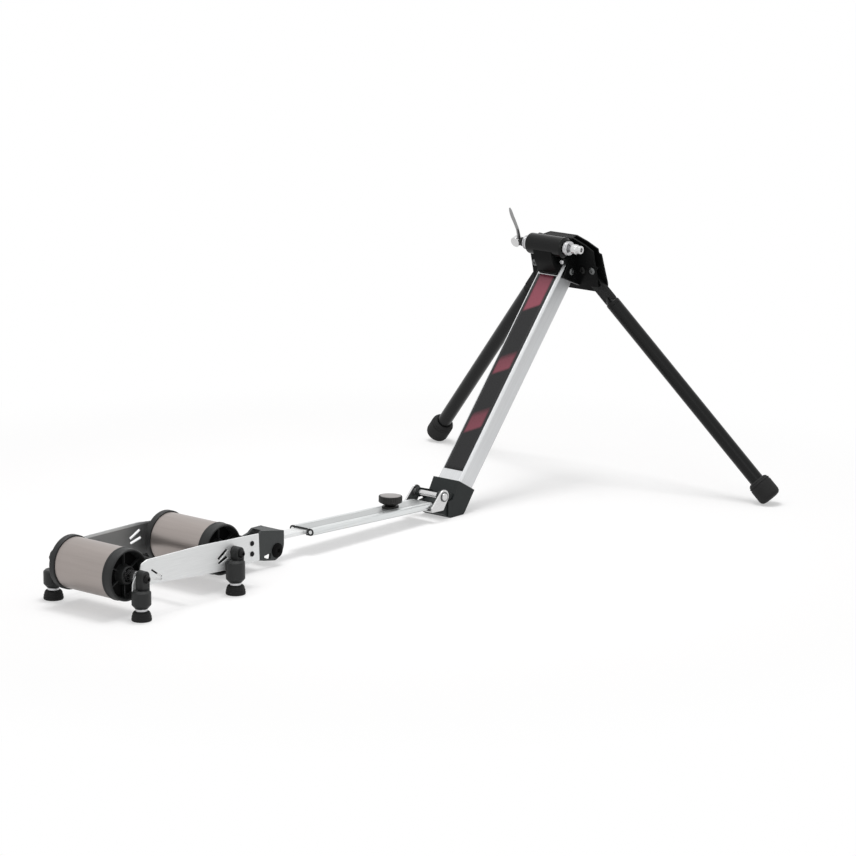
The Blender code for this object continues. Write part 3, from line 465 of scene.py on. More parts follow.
taupe = grained("taupe_anodised", TAUPE, 0.36, (300, 10, 300), 0.04, (0.34, 0.40), metallic=0.9)
moulded = grained("moulded_black", MOULDED, 0.5, 1400, 0.3, (0.42, 0.58), specular=0.3)
zinc = grained("bright_zinc", ZINC, 0.24, 900, 0.05, (0.20, 0.32), metallic=1.0)
# Painted shade: a nearly black finish for the shade deep in the caps' recesses and round the coupling pin.
shade_black, *parts = shader("painted_shade_black", (0.003, 0.003, 0.003), 0.55, specular=0.06)
grain(*parts, 900, 0.15, (0.48, 0.62))


def rectangle(low, high):
    """The outline between two corners."""
    return [(low[0], low[1]), (high[0], low[1]), (high[0], high[1]), (low[0], high[1])]


def spoke(inner, outer, low, high, half_width, turn, centre):
    """A thin rib in a turned part, from one radius to another, at a turn about Y through a centre."""
    place = Matrix.Translation(centre) @ Matrix.Rotation(turn, 4, "Y") @ ACROSS
    return plate(rectangle((inner, -half_width), (outer, half_width)), low, high, place, edge=0.0003)


for end, x in DRUM_X.items():
    centre, body = (x, 0, DRUM_Z), f"drum_{end}"
    bore = DRUM_RADIUS - DRUM_WALL
    tube = [(-0.048, bore), (-0.048, DRUM_RADIUS), (0.057, DRUM_RADIUS), (0.057, bore)]
    mesh = lathe(tube, centre, Y, closed=True, steps=128)
    put(f"drum_tube_{end}", mesh, taupe, body, [f"drum_shell_{end}"])

    flange = [(0.0493, SEAT), (0.0493, SPIGOT), (0.0573, SPIGOT), (0.0573, 0.0427), (0.0588, 0.0437, 0.001)]
    flange += [(0.0668, 0.0437, 0.001), (0.0682, 0.0424), (0.0688, 0.0400), (0.0688, 0.0352)]
    flange += [(0.0648, 0.0325), (0.0648, 0.0190), (0.0680, 0.0170), (0.0688, 0.0160), (0.0688, SEAT)]
    meshes = [lathe(flange, centre, Y, closed=True, steps=96)]
    meshes += [spoke(0.0165, 0.0345, 0.0640, 0.0674, 0.0008, k * math.pi / 4, centre) for k in range(8)]
    put(f"far_flange_{end}", meshes, moulded, body, [f"drum_far_flange_{end}"])

    cap = [(-0.0403, SEAT), (-0.0403, SPIGOT), (-0.0483, SPIGOT), (-0.0483, 0.0424, 0.0008)]
    cap += [(-0.0515, 0.0424, 0.0008), (-0.0522, 0.0417), (-0.0643, 0.0415, 0.0012), (-0.0663, 0.0402, 0.001)]
    cap += [(-0.0663, 0.0382, 0.0008), (-0.0640, 0.0374, 0.001), (-0.0503, 0.0354, 0.002)]
    cap += [(-0.0503, 0.0165, 0.002), (-0.0600, 0.0150, 0.001), (-0.0640, 0.0142, 0.0008)]
    cap += [(-0.0653, 0.0132, 0.0006), (-0.0653, SEAT)]
    turns = [(k + 0.5) * math.pi / 3 for k in range(6)]
    meshes = [lathe(cap, centre, Y, closed=True, steps=96)]
    meshes += [spoke(0.0145, 0.0362, -0.0560, -0.0495, 0.0009, turn, centre) for turn in turns]
    put(f"near_cap_{end}", meshes, moulded, body, [f"drum_near_cap_{end}"])
    # A thin nearly black disc on the recess floor: painted shade, where shade falls deep in the cap.
    recess_shade_disc = [(-0.0512, 0.0168), (-0.0512, 0.0350), (-0.0506, 0.0350), (-0.0506, 0.0168)]
    mesh = lathe(recess_shade_disc, centre, Y, edge=0.0001, closed=True, steps=96)
    put(f"near_shield_{end}", mesh, shade_black, body)

    for name, y in BEARING_Y.items():
        race = [(-0.0035, 0.0043), (-0.0035, 0.0058), (-0.0030, 0.0060), (-0.0030, 0.0092)]
        race += [(-0.0035, 0.0094), (-0.0035, 0.0110)]
        mesh = lathe(mirrored(race), (x, y, DRUM_Z), Y, edge=0.0002, closed=True, steps=48)
        put(f"bearing_{name}_{end}", mesh, zinc, body, [f"drum_bearing_{name}_{end}"])

# Axle bolts.
# A long zinc-plated bolt through both plates, both foot brackets and the drum. Its heads are black. A zinc
# collar on each side keeps the bearing off the plate.

AXLE_HALF, AXLE_RADIUS = 0.1036, 0.0040
COLLAR_START = {"near": 0.0668, "far": 0.0692}

for end, x in DRUM_X.items():
    rod = mirrored([(-AXLE_HALF, 0), (-AXLE_HALF, AXLE_RADIUS)])
    rod = lathe(rod, (x, 0, DRUM_Z), Y, steps=32)
    put(f"axle_rod_{end}", rod, zinc, "roller_frame", [f"drum_axle_{end}"])
    heads = [bolt_head((x, side * (AXLE_HALF + 0.0002), DRUM_Z), (0, side, 0), 0.0064, 0.0050, 0.0028)
             for side in (NEAR, FAR)]
    put(f"axle_heads_{end}", heads, coated, "roller_frame")
    for side, name in SIDES:
        start = COLLAR_START[name]
        collar = [(start, 0.0044), (start, 0.0098, 0.0004), (0.0847, 0.0098, 0.0004), (0.0847, 0.0044)]
        mesh = lathe(collar, (x, 0, DRUM_Z), (0, side, 0), closed=True)
        put(f"axle_collar_{name}_{end}", mesh, zinc, "roller_frame")

# Feet.
# A moulded bracket outside each plate, bolted on by the drum's axle, holds a threaded stud. The stud carries
# a washer and a ribbed rubber pad, and is screwed in or out to level the rollers.

FEET_X, FEET_Y = 0.105, 0.098
BRACKET_RADIUS, LUG_HALF_WIDTH = 0.0155, 0.008
SHOULDER, CROWN = {"rear": 0.0480, "front": 0.0555}, {"rear": 0.0697, "front": 0.0677}
RUBBER = ((0.012, 0.012, 0.012), (0.022, 0.022, 0.022))

rubber = grained("matt_rubber", RUBBER, 0.75, 700, 0.35, (0.62, 0.86), specular=0.25)

for side, name in SIDES:
    for end, x in (("rear", -FEET_X), ("front", FEET_X)):
        whose = f"{end}_{name}"
        y, axle_x = side * FEET_Y, DRUM_X[end]
        shoulder, crown = SHOULDER[end], CROWN[end]
        inner = PLATE_INNER_Y + PLATE_THICK + 0.0003
        socket = [(0.0193, 0.0055), (0.0193, 0.0102), (0.0253, BRACKET_RADIUS, 0.002)]
        socket += [(shoulder - 0.003, BRACKET_RADIUS, 0.002), (shoulder, BRACKET_RADIUS - 0.003, 0.001)]
        socket += [(shoulder, 0.0055)]
        bracket = lathe(socket, (x, y, 0), closed=True)
        co = np.empty(len(bracket.vertices) * 3)
        bracket.vertices.foreach_get("co", co)
        co = co.reshape(-1, 3)
        co[:, 1] = side * np.maximum(side * co[:, 1], inner)  # the flat that lies against the plate
        bracket.vertices.foreach_set("co", co.ravel())
        lug = [(axle_x + LUG_HALF_WIDTH, shoulder - 0.006), *arc((axle_x, crown), LUG_HALF_WIDTH, 0, 180, 20)]
        lug += [(axle_x - LUG_HALF_WIDTH, shoulder - 0.006)]
        low, high = sorted((side * inner, side * (AXLE_HALF - 0.0001)))
        lug = plate(soften(lug, 0.0006), low, high, holes=[circle((axle_x, DRUM_Z), AXLE_HOLE)], edge=0.0012)
        node = f"foot_bracket_{whose}"
        put(f"bracket_{whose}", [bracket, lug], moulded, "roller_frame", [node])

        heights = np.arange(0.0194, 0.0396, 0.0005)
        thread = [(z, 0.0040 - 0.0005 * (i % 2), 0) for i, z in enumerate(heights)]
        stud = [(0.0045, 0), (0.0045, 0.004), (0.0151, 0.004), (0.0151, 0.0093), (0.0157, 0.0095)]
        stud += [(0.0184, 0.0095), (0.0190, 0.0093), (0.0190, 0.004), *thread, (0.040, 0.003), (0.040, 0)]
        mesh = lathe(stud, (x, y, 0), edge=0.0002, steps=32)
        put(f"stud_{whose}", mesh, zinc, f"foot_{whose}", [f"foot_stud_{whose}"])

        pad = [(0, 0), (0.0010, 0.0060), (0.0010, 0.0110), (0, 0.0120), (0, 0.0152, 0.0008)]
        pad += [(0.0010, 0.0160, 0.0006), (0.0040, 0.0160, 0.0006), (0.0046, 0.0154), (0.0056, 0.0154)]
        pad += [(0.0062, 0.0157), (0.0078, 0.0154), (0.0084, 0.0146), (0.0094, 0.0145)]
        pad += [(0.0108, 0.0146, 0.001), (0.0138, 0.0130, 0.001), (0.0148, 0.0118, 0.0006)]
        pad += [(0.0148, 0.0043), (0.0042, 0.0043), (0.0042, 0)]
        mesh = lathe(pad, (x, y, 0), edge=0.0003)
        put(f"pad_{whose}", mesh, rubber, f"foot_{whose}", [f"foot_pad_{whose}"])

# Coupling.
# A welded steel clevis in front of the crossmember, powder coated. Its two cheeks hold the slider's pin, and
# have a window each. A web on top stops the slider when it is straight.

pin_low, pin_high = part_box("coupling_pin")
PIVOT_X, PIVOT_Z = (pin_low[0] + pin_high[0]) / 2 - FEET, (pin_low[2] + pin_high[2]) / 2
COUPLING_Y, CHEEK_THICK, PIN_HOLE = 0.026, 0.005, 0.0053
ARM_REAR, ARM_TOP = CROSSMEMBER_X + 0.0093, 0.0535
CASTING = ((0.032, 0.036, 0.036), (0.048, 0.053, 0.053))

cast = grained("dark_casting", CASTING, 0.42, 600, 0.30, (0.36, 0.52), specular=0.35)

nose = arc((0.268, 0.036), 0.027, -80, -2, 20)
below = [(ARM_REAR, ARM_TOP, 0.0008), (ARM_REAR, 0.020, 0.0008), (0.2280, 0.0200, 0.003)]
below += [(0.2330, 0.0170, 0.003), (0.2466, 0.0138, 0.006), *nose, (0.295, 0.056, 0.001)]
cheek_tops = {"near": [(0.2427, 0.0650, 0.002), (0.2360, 0.0600, 0.002), (0.2280, ARM_TOP, 0.002)]}
cheek_tops["far"] = [(0.271, 0.056, 0.001), (0.262, 0.050, 0.003), (0.247, 0.046, 0.004)]
cheek_tops["far"] += [(0.215, 0.046, 0.004), (0.198, ARM_TOP, 0.003)]
window = [(0.2480, 0.0190), (0.2480, 0.0215), (0.2640, 0.0240), (0.2625, 0.0145), (0.2590, 0.0140)]
holes = [soften(window, 0.0008), circle((PIVOT_X, PIVOT_Z), PIN_HOLE)]
inner = COUPLING_Y - CHEEK_THICK
reach = inner + 0.002
meshes = []
for side, name in SIDES:
    low, high = sorted((side * inner, side * COUPLING_Y))
    meshes.append(plate(soften(below + cheek_tops[name], 0.001), low, high, holes=holes, edge=0.0006))
webs = [rectangle((0.2715, 0.0520), (0.2945, 0.0558))]
webs += [rectangle((ARM_REAR + 0.0002, 0.0205), (ARM_REAR + 0.004, ARM_TOP - 0.0005))]
webs += [rectangle((ARM_REAR + 0.003, 0.0415), (0.243, 0.0455))]
meshes += [plate(soften(web, 0.0006), -reach, reach) for web in webs]
put("coupling_coated", meshes, cast, "roller_frame", ["coupling_bracket"])

pin_end = COUPLING_Y + 0.0003
pin = mirrored([(-pin_end, 0), (-pin_end, PIN_HOLE - 0.0003)])
pin = lathe(pin, (PIVOT_X, 0, PIVOT_Z), Y, steps=32)
put("coupling_pin_rod", pin, coated, "roller_frame", ["coupling_pin"])
# Real pin heads, made broad and nearly black: painted shade for the clevis round the pin.
heads = [bolt_head((PIVOT_X, side * pin_end, PIVOT_Z), (0, side, 0), 0.0122, 0.0030, 0.0036)
         for side in (NEAR, FAR)]
put("coupling_pin_heads", heads, shade_black, "roller_frame")

# Slider.
# A flat aluminium bar that slides inside the beam to set the wheelbase. Its rear end is a knuckle that hangs
# on the coupling pin. The anodised faces are nearly white.

rod_low, rod_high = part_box("hinge_rod")
ROD_X, ROD_Z = (rod_low[0] + rod_high[0]) / 2 - FEET, (rod_low[2] + rod_high[2]) / 2
BEAM_LENGTH, BEAM_HEIGHT = 0.299, 0.012
BEAM_REAR_X, BEAM_REAR_Z = 0.366, 0.044
ROD_ALONG, ROD_ABOVE = BEAM_LENGTH + 0.0200, 0.0086  # the hinge rod, from the rear end of the beam's top face
slope = math.asin((ROD_Z - BEAM_REAR_Z) / math.hypot(ROD_ALONG, ROD_ABOVE)) - math.atan2(ROD_ABOVE, ROD_ALONG)
BEAM = Matrix.Translation((BEAM_REAR_X, 0, BEAM_REAR_Z)) @ Matrix.Rotation(-slope, 4, "Y")
SLIDER_TOP, SLIDER_BOTTOM = -0.0028, -0.0094
SLIDER_FRONT, SLIDER_HALF = BEAM_LENGTH - 0.039, 0.0137
PALE = ((0.76, 0.77, 0.77), (0.86, 0.87, 0.87))

pale = grained("pale_anodised", PALE, 0.34, (16, 900, 900), 0.15, (0.28, 0.42), metallic=0.9)

pin = BEAM.inverted() @ Vector((PIVOT_X, 0, PIVOT_Z))
bar = [(SLIDER_FRONT, SLIDER_BOTTOM, 0.001), (SLIDER_FRONT, SLIDER_TOP, 0.001)]
bar += [(pin.x + 0.001, SLIDER_TOP, 0.0)]
bar += arc((pin.x, pin.z), SLIDER_TOP - pin.z, 92, 150, 20) + arc((pin.x, pin.z), 0.0095, 190, 345, 24)
bar += [(pin.x + 0.022, SLIDER_BOTTOM, 0.008)]
hole = circle((pin.x, pin.z), PIN_HOLE)
mesh = plate(soften(bar, 0.001), -SLIDER_HALF, SLIDER_HALF, BEAM @ ACROSS, [hole], edge=0.0009)
put("slider_bar", mesh, pale, "slider", ["slider"])

# Beam.
# An aluminium extrusion in a satin finish: a flat web between two round hollow beads, with a shallow groove
# beside each bead, and lips below that hold the slider. It is sawn square at both ends.

BEAD, BEAD_Y, LIP = 0.006, 0.020, 0.002
EXTRUDED = ((0.64, 0.66, 0.66), (0.80, 0.82, 0.82))

extruded, *parts = shader("satin_extrusion", EXTRUDED[0], 0.33, 0.9)
grain(*parts, (4, 420, 420), 0.25, (0.26, 0.42), EXTRUDED)
# Painted shade: the web between the beads is darkened, so the rounded beads look lit beside it.
paint_shade(*parts, "Y", 0.0135, 0.0155, 0.66)  # the web between the beads

half = [(0.0128, 0.0, 0.0), (0.0136, -0.0008, 0.0), (0.0146, -0.0008, 0.0), (0.0158, 0.0, 0.0004)]
half += [*arc((BEAD_Y, -BEAD), BEAD, 90, -90, 24), (0.0106, -BEAM_HEIGHT, 0.0005)]
half += [(0.0106, LIP - BEAM_HEIGHT, 0.0005), (0.0140, LIP - BEAM_HEIGHT, 0.0003), (0.0140, -0.0025, 0.0008)]
section = soften([(0.0, 0.0)] + mirrored(half), 0.0003, steps=2)
LENGTHWISE = Matrix(((0, 0, 1, 0), (1, 0, 0, 0), (0, 1, 0, 0), (0, 0, 0, 1)))  # (a, b, along) to (Y, Z, X)
bores = [circle((side * BEAD_Y, -BEAD), 0.0034) for side in (NEAR, FAR)]
mesh = plate(section, 0, BEAM_LENGTH, BEAM @ LENGTHWISE, bores, edge=0.0002)
put("beam_extrusion", mesh, extruded, "beam", ["beam"])
holes = [circle((side * BEAD_Y, -BEAD), 0.0037) for side in (NEAR, FAR)]
mesh = plate(section, -0.0018, -0.0001, BEAM @ LENGTHWISE, holes, edge=0.0002)
put("beam_end_trim", mesh, moulded, "beam")
stopper = [(-0.0022, 0), (-0.0022, 0.0028), (-0.0014, 0.0033), (0.0060, 0.0033), (0.0060, 0)]
plugs = [lathe(stopper, (0, side * BEAD_Y, -BEAD), X, steps=32) for side in (NEAR, FAR)]
put("beam_plugs", plugs, pale, "beam", place=BEAM)

# Clamp knob.
# A moulded black knob with a finely fluted rim turns on an oval washer plate. A domed grey cap closes its
# top. Its stud goes through the beam's web and presses on the slider.

KNOB_ALONG, KNOB_FLUTES = 0.2185, 30
KNOB = BEAM @ Matrix.Translation((KNOB_ALONG, 0, 0))
SOFT_BLACK = ((0.016, 0.015, 0.014), (0.026, 0.025, 0.024))
INLAY = ((0.330, 0.312, 0.306), (0.400, 0.380, 0.374))

soft_black = grained("soft_black_moulding", SOFT_BLACK, 0.42, 1600, 0.25, (0.38, 0.52), specular=0.3)
inlay = grained("grey_inlay", INLAY, 0.45, 1200, 0.15, (0.40, 0.52), specular=0.3)

oval = [(1.35 * a, b) for a, b in circle((0, 0), 0.0125, 64)]
mesh = plate(oval, 0.0003, 0.0030, KNOB, [circle((0, 0), 0.0045)], edge=0.0006)
put("knob_washer_plate", mesh, soft_black, "beam", ["knob_plate"])


def fluted(along, radius, turn):
    """Shallow flutes round the rim: the radius drops by the square of 1 - |cos(half the flutes x turn)|."""
    rim = np.clip((radius - 0.0185) / 0.0010, 0, 1)
    return radius - 0.0007 * rim * (1 - np.abs(np.cos(KNOB_FLUTES / 2 * turn))) ** 2


grip = [(-0.0025, 0), (-0.0025, 0.0038), (0.0033, 0.0038), (0.0033, 0.0088), (0.0045, 0.0098, 0.001)]
grip += [(0.0085, 0.0175, 0.002), (0.0100, 0.0200, 0.0010), (0.0196, 0.0200, 0.0008)]
grip += [(0.0206, 0.0190, 0.0008), (0.0206, 0.0182), (0.0196, 0.0178), (0.0196, 0)]
mesh = lathe(grip, edge=0.0006, steps=240, shape=fluted)
put("knob_grip", mesh, soft_black, "clamp_knob", ["clamp_knob"], KNOB)

cap = [(0.0190, 0), (0.0190, 0.0176), (0.0209, 0.0176, 0.0008), (0.0218, 0.0120, 0.010)]
cap += [(0.0222, 0.0040), (0.0222, 0)]
mesh = lathe(cap, steps=96)
put("knob_cap_inlay", mesh, inlay, "clamp_knob", place=KNOB)

# Hinge.
# A bent channel under the beam's front end has two ears that carry the hinge rod of the post. The channel is
# bright steel, and the rod is polished and held by a grey clip and a rolled end on each side.

EAR_INNER_Y, EAR_THICK, EAR_RADIUS = 0.0300, 0.0032, 0.012
EAR_REAR, EAR_FRONT, EAR_LOW = BEAM_LENGTH - 0.011, BEAM_LENGTH + 0.019, -BEAM_HEIGHT - 0.0028
PLATED = ((0.56, 0.56, 0.56), (0.68, 0.68, 0.68))
GREY_STEEL = ((0.11, 0.115, 0.115), (0.17, 0.175, 0.175))

plated = grained("bright_plated_steel", PLATED, 0.28, 900, 0.06, (0.22, 0.36), metallic=1.0)
grey_steel = grained("grey_steel", GREY_STEEL, 0.38, 800, 0.08, (0.32, 0.46), metallic=1.0)

rear_low = BEAM @ Vector((EAR_REAR, 0, EAR_LOW))
rear_high = BEAM @ Vector((EAR_REAR, 0, -0.0075))
front_low = BEAM @ Vector((EAR_FRONT, 0, EAR_LOW))
ear = [(rear_low.x, rear_low.z, 0.002), (rear_high.x, rear_high.z, 0.002)]
ear += [*arc((ROD_X, ROD_Z), EAR_RADIUS, 140, -20, 30), (front_low.x, front_low.z, 0.002)]
eye = circle((ROD_X, ROD_Z), 0.00505)
outer = EAR_INNER_Y + EAR_THICK
spans = ((-outer, -EAR_INNER_Y), (EAR_INNER_Y, outer))
meshes = [plate(soften(ear, 0.001), *span, holes=[eye], edge=0.0007) for span in spans]
base = rectangle((EAR_REAR + 0.0005, EAR_LOW + 0.0001), (BEAM_LENGTH + 0.002, -BEAM_HEIGHT - 0.0003))
meshes += [plate(soften(base, 0.0005), -EAR_INNER_Y - 0.001, EAR_INNER_Y + 0.001, BEAM @ ACROSS)]
put("hinge_channel", meshes, plated, "beam", ["ear_bracket"])

end = outer + 0.0003
rod = [(-end - 0.0020, 0), (-end - 0.0016, 0.0022), (-end - 0.0020, 0.0060, 0.0005)]
rod += [(-end, 0.0068, 0.0006), (-end, 0.00475)]
mesh = lathe(mirrored(rod), (ROD_X, 0, ROD_Z), Y)
put("hinge_rod_polished", mesh, plated, "beam", ["hinge_rod"])
start, stop = outer + 0.0002, outer + 0.0012
clip = [(start, 0.0051), (start, 0.0086), (stop, 0.0086), (stop, 0.0051)]
for side, name in SIDES:
    mesh = lathe(clip, (ROD_X, 0, ROD_Z), (0, side, 0), edge=0.0002, closed=True)
    put(f"hinge_clip_{name}", mesh, grey_steel, "beam")

# Base block.
# A moulded block that the post stands in. Its foot lies on the floor, and two tabs hold the hinge rod. Its
# edges are rounded in the mould.

CRISP = 30  # degrees between the faces of an edge that is rounded
BLOCK = ((0.016, 0.019, 0.019), (0.025, 0.029, 0.029))

block_black = grained("block_moulding", BLOCK, 0.5, 900, 0.3, (0.42, 0.60), specular=0.2)


def rounded_copy(node, edge):
    """The CAD node's own solid: merged, its flat faces made whole, and its crisp edges rounded."""
    work = bmesh.new()
    work.from_mesh(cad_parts[node].data)
    bmesh.ops.remove_doubles(work, verts=work.verts, dist=1e-6)
    bmesh.ops.dissolve_limit(work, angle_limit=math.radians(0.5), verts=work.verts, edges=work.edges)
    pairs = [e for e in work.edges if len(e.link_faces) == 2]
    crisp = [e for e in pairs if e.calc_face_angle() > math.radians(CRISP)]
    rounding = {"offset": edge, "segments": 2, "profile": 0.5, "affect": "EDGES", "clamp_overlap": True}
    bmesh.ops.bevel(work, geom=crisp, **rounding)
    mesh = bpy.data.meshes.new(node)
    work.to_mesh(mesh)
    work.free()
    return mesh


mesh = rounded_copy("base_block", 0.0012)
put("block_moulded", mesh, block_black, "post", ["base_block"], moved=False)

# Post.
# A square aluminium tube with bevelled corners, drawn and satin anodised. It leans forward, its rear wall is
# cut back under the head, and its top is mitred to the leg yoke.

POST_ANGLE = math.radians(50.4)
POST = Matrix.Translation((ROD_X + 0.0515, 0, 0.0606)) @ Matrix.Rotation(-POST_ANGLE, 4, "Y")
DRAWN = ((0.64, 0.65, 0.66), (0.74, 0.75, 0.76))

drawn = grained("drawn_tube", DRAWN, 0.40, (6, 900, 900), 0.2, (0.30, 0.44), metallic=0.75, turn=POST_ANGLE)

put("post_tube", rounded_copy("post", 0.0008), drawn, "post", ["post"], moved=False)

# Panel on the post.
# A thin printed film on the tube's rear face, between two bare silver strips. It is black, with three
# slanting wine-red fields whose edges are soft.

PANEL_START, PANEL_END, PANEL_HALF, PANEL_LIFT = 0.0165, 0.4100, 0.0205, 0.00035
FIELDS = ((0.20, 0.30, 0.75), (0.47, 0.56, 0.80), (0.765, 1.0, 1.0))  # start, end and strength
INK = ((0.010, 0.010, 0.011), (0.29, 0.072, 0.102))

film, link, make, surface = shader("printed_film", INK[0], 0.34, specular=0.3)
flat = make("ShaderNodeUVMap", uv_map="film")
split = make("ShaderNodeSeparateXYZ")
link(flat.outputs[0], split.inputs[0])
slant = reckoned(link, make, "MULTIPLY_ADD", split.outputs["X"], 0.05, split.outputs["Y"])
ramp = make("ShaderNodeValToRGB")
ramp.color_ramp.elements[0].color = (0, 0, 0, 1)
ramp.color_ramp.elements[1].color = (0, 0, 0, 1)
for start, end, strength in FIELDS:
    for at, value in ((start, 0.0), (start + 0.012, strength), (end - 0.03, strength * 0.8), (end, 0.0)):
        ramp.color_ramp.elements.new(at).color = (value, value, value, 1)
link(slant, ramp.inputs["Fac"])
middle = reckoned(link, make, "SUBTRACT", split.outputs["X"], 0.5)
inset = reckoned(link, make, "ABSOLUTE", middle)
soft_edge = {"From_Min": 0.30, "From_Max": 0.42, "To_Min": 1.0, "To_Max": 0.0}
rim = make("ShaderNodeMapRange", interpolation_type="SMOOTHSTEP", **soft_edge)
link(inset, rim.inputs["Value"])
tint = reckoned(link, make, "MULTIPLY", ramp.outputs["Color"], rim.outputs[0])
ink = make("ShaderNodeValToRGB")
for stop, tone in zip(ink.color_ramp.elements, INK):
    stop.color = (*tone, 1)
link(tint, ink.inputs["Fac"])
link(ink.outputs[0], surface.inputs["Base Color"])
grain(link, make, surface, 500, 0.05, (0.24, 0.38))

rows, columns = 64, 9
lengths, widths = np.linspace(PANEL_START, PANEL_END, rows), np.linspace(-PANEL_HALF, PANEL_HALF, columns)
along, across = np.meshgrid(lengths, widths, indexing="ij")
top = np.stack([along, across, np.full_like(along, PANEL_LIFT)], axis=-1)
panel = put("post_panel", grid(top, across=False), film, "post", place=POST)
uv = panel.data.uv_layers.new(name="film")
corner = np.empty(len(panel.data.loops), int)
panel.data.loops.foreach_get("vertex_index", corner)
share = np.stack([(corner % columns) / (columns - 1), 0.9 * (corner // columns) / (rows - 1)], axis=-1)
uv.data.foreach_set("uv", share.ravel())
thick = panel.modifiers.new("film", "SOLIDIFY")
thick.thickness, thick.offset = 0.0003, -1

# Saddle and cheeks.
# The saddle is a casting that joins the barrel to the post's open top. Two steel cheeks tie the barrel, the
# post and the yoke together. The cheeks are coated gloss black and the saddle a duller black.

GLOSS = ((0.004, 0.0042, 0.0042), (0.007, 0.0074, 0.0074))

gloss = grained("gloss_black_coat", GLOSS, 0.24, 700, 0.08, (0.20, 0.30), specular=0.2)
matt_coat = grained("matt_black_coat", GLOSS, 0.34, 700, 0.08, (0.30, 0.40), specular=0.08)

saddle = rounded_copy("saddle", 0.0008)
put("saddle_casting", saddle, matt_coat, "post", ["saddle"], moved=False)
for side, name in SIDES:
    node = f"head_cheek_{name}"
    put(f"cheek_{name}_plate", rounded_copy(node, 0.0006), gloss, "post", [node], moved=False)
    base = (ROD_X + 0.3409, side * 0.0308, 0.382)
    screw = bolt_head(base, (0, side, 0), 0.0060, 0.0026, 0.0022)
    put(f"cheek_screw_{name}", screw, grey_steel, "post")

lug = rectangle((ROD_X + 0.3154, 0.3975), (ROD_X + 0.3300, 0.4092))
put("saddle_lug", plate(soften(lug, 0.002), -0.0345, -0.0170, edge=0.001), gloss, "post")
lug_screw = bolt_head((ROD_X + 0.3154, -0.0297, 0.4030), (-1, 0, 0), 0.0046, 0.0028, 0.0016)
put("saddle_screw", lug_screw, zinc, "post")

# Barrel.
# The barrel stands in for a hub: the fork is lowered over it. It is coated gloss black. A zinc spacer and the
# end of a hollow axle stand out on each side, and the fork ends drop onto them.

BARREL = (ROD_X + 0.314, 0, 0.4286)
BARREL_RADIUS = 0.0182

tube = [(-0.040, 0.0048), (-0.040, 0.0148, 0.0006), (-0.0385, 0.0168, 0.001), (-0.0372, BARREL_RADIUS, 0.001)]
mesh = lathe(mirrored(tube), BARREL, Y, closed=True, steps=96)
put("barrel_coated", mesh, gloss, "post", ["barrel"])
ring = [(0.0403, 0.0048), (0.0403, 0.0112), (0.0413, 0.0123, 0.0006), (0.0450, 0.0123, 0.0006)]
ring += [(0.0458, 0.0112), (0.0466, 0.0112), (0.0474, 0.0123, 0.0006), (0.0492, 0.0123, 0.0006)]
ring += [(0.0500, 0.0112), (0.0500, 0.0048)]
for side, name in SIDES:
    mesh = lathe(ring, BARREL, (0, side, 0), edge=0.0003, closed=True)
    put(f"spacer_{name}_turned", mesh, zinc, "post", [f"spacer_{name}"])
axle = mirrored([(-0.055, 0.0028), (-0.055, 0.0041), (-0.0546, 0.0045)])
mesh = lathe(axle, BARREL, Y, edge=0.0002, closed=True, steps=48)
put("axle_tube", mesh, zinc, "post", ["dummy_axle"])

# Quick release.
# A skewer goes through the axle. A nut with a fluted grip is on its near end, and a forged lever with a cam
# and a black washer is on its far end. The skewer, the nut and the cam are polished steel.

LEAN = math.radians(19.3)
HUB = Vector(BARREL) + Vector((0, 0.0703, 0))
LEVER_ACROSS = Vector((math.cos(LEAN), 0, math.sin(LEAN)))
LEVER_ALONG = Vector((-math.sin(LEAN), 0, math.cos(LEAN)))
GRIP_START, GRIP_END = 0.0656, 0.0730  # of the nut, from the barrel's middle
LEVER_LENGTH = 0.0645
FORGED = ((0.25, 0.25, 0.25), (0.35, 0.35, 0.35))

forged = grained("forged_steel", FORGED, 0.32, 700, 0.10, (0.26, 0.40), metallic=1.0)

skewer = [(-0.0690, 0), (-0.0690, 0.0025), (0.0600, 0.0025), (0.0600, 0)]
skewer = lathe(skewer, BARREL, Y, steps=32)
put("skewer_polished", skewer, plated, "post", ["skewer_rod"])
washer = [(0.056, 0.0028), (0.056, 0.0080), (0.0575, 0.0080), (0.0580, 0.0074)]
washer += [(0.0605, 0.0074), (0.061, 0.0068), (0.061, 0.0028)]
mesh = lathe(washer, BARREL, Y, closed=True)
put("cam_washer_moulded", mesh, moulded, "post", ["cam_washer"])


def grip_flutes(along, radius, turn):
    """Twelve flutes in the nut's grip: the radius drops by 1 + cos(12 turn), less and less at its ends."""
    fade = np.clip((along - GRIP_START) / 0.0010, 0, 1) * np.clip((GRIP_END - along) / 0.0010, 0, 1)
    return radius - 0.0004 * fade * (radius > 0.006) * (1 + np.cos(12 * turn))


nut = [(0.056, 0.0028), (0.056, 0.0079), (0.0566, 0.0085, 0.0004), (0.0638, 0.0085, 0.0006)]
nut += [(0.0652, 0.0072, 0.0005), *((y, 0.0072, 0) for y in (GRIP_START, 0.0664, 0.0722, GRIP_END))]
nut += [(0.0737, 0.0072, 0.0006), (0.0745, 0.0060), (0.0745, 0.0036), (0.0705, 0.0030)]
mesh = lathe(nut, BARREL, (0, NEAR, 0), edge=0.0004, closed=True, steps=120, shape=grip_flutes)
put("nut_polished", mesh, plated, "qr_nut", ["qr_nut"])

knots = [0, 0.006, 0.012, 0.024, 0.036, 0.050, 0.060, LEVER_LENGTH]
reach = np.linspace(0, LEVER_LENGTH, 48)


def along_lever(heights):
    """A value along the lever: straight between the knots, then each the mean of the five values about it."""
    straight = np.interp(reach, knots, heights)
    return np.convolve(np.pad(straight, 2, mode="edge"), np.full(5, 0.2), mode="valid")


def squarish(part):
    """A sine or a cosine raised to a power below 1, which makes a section squarer than an ellipse."""
    return np.sign(part) * np.abs(part) ** 0.6


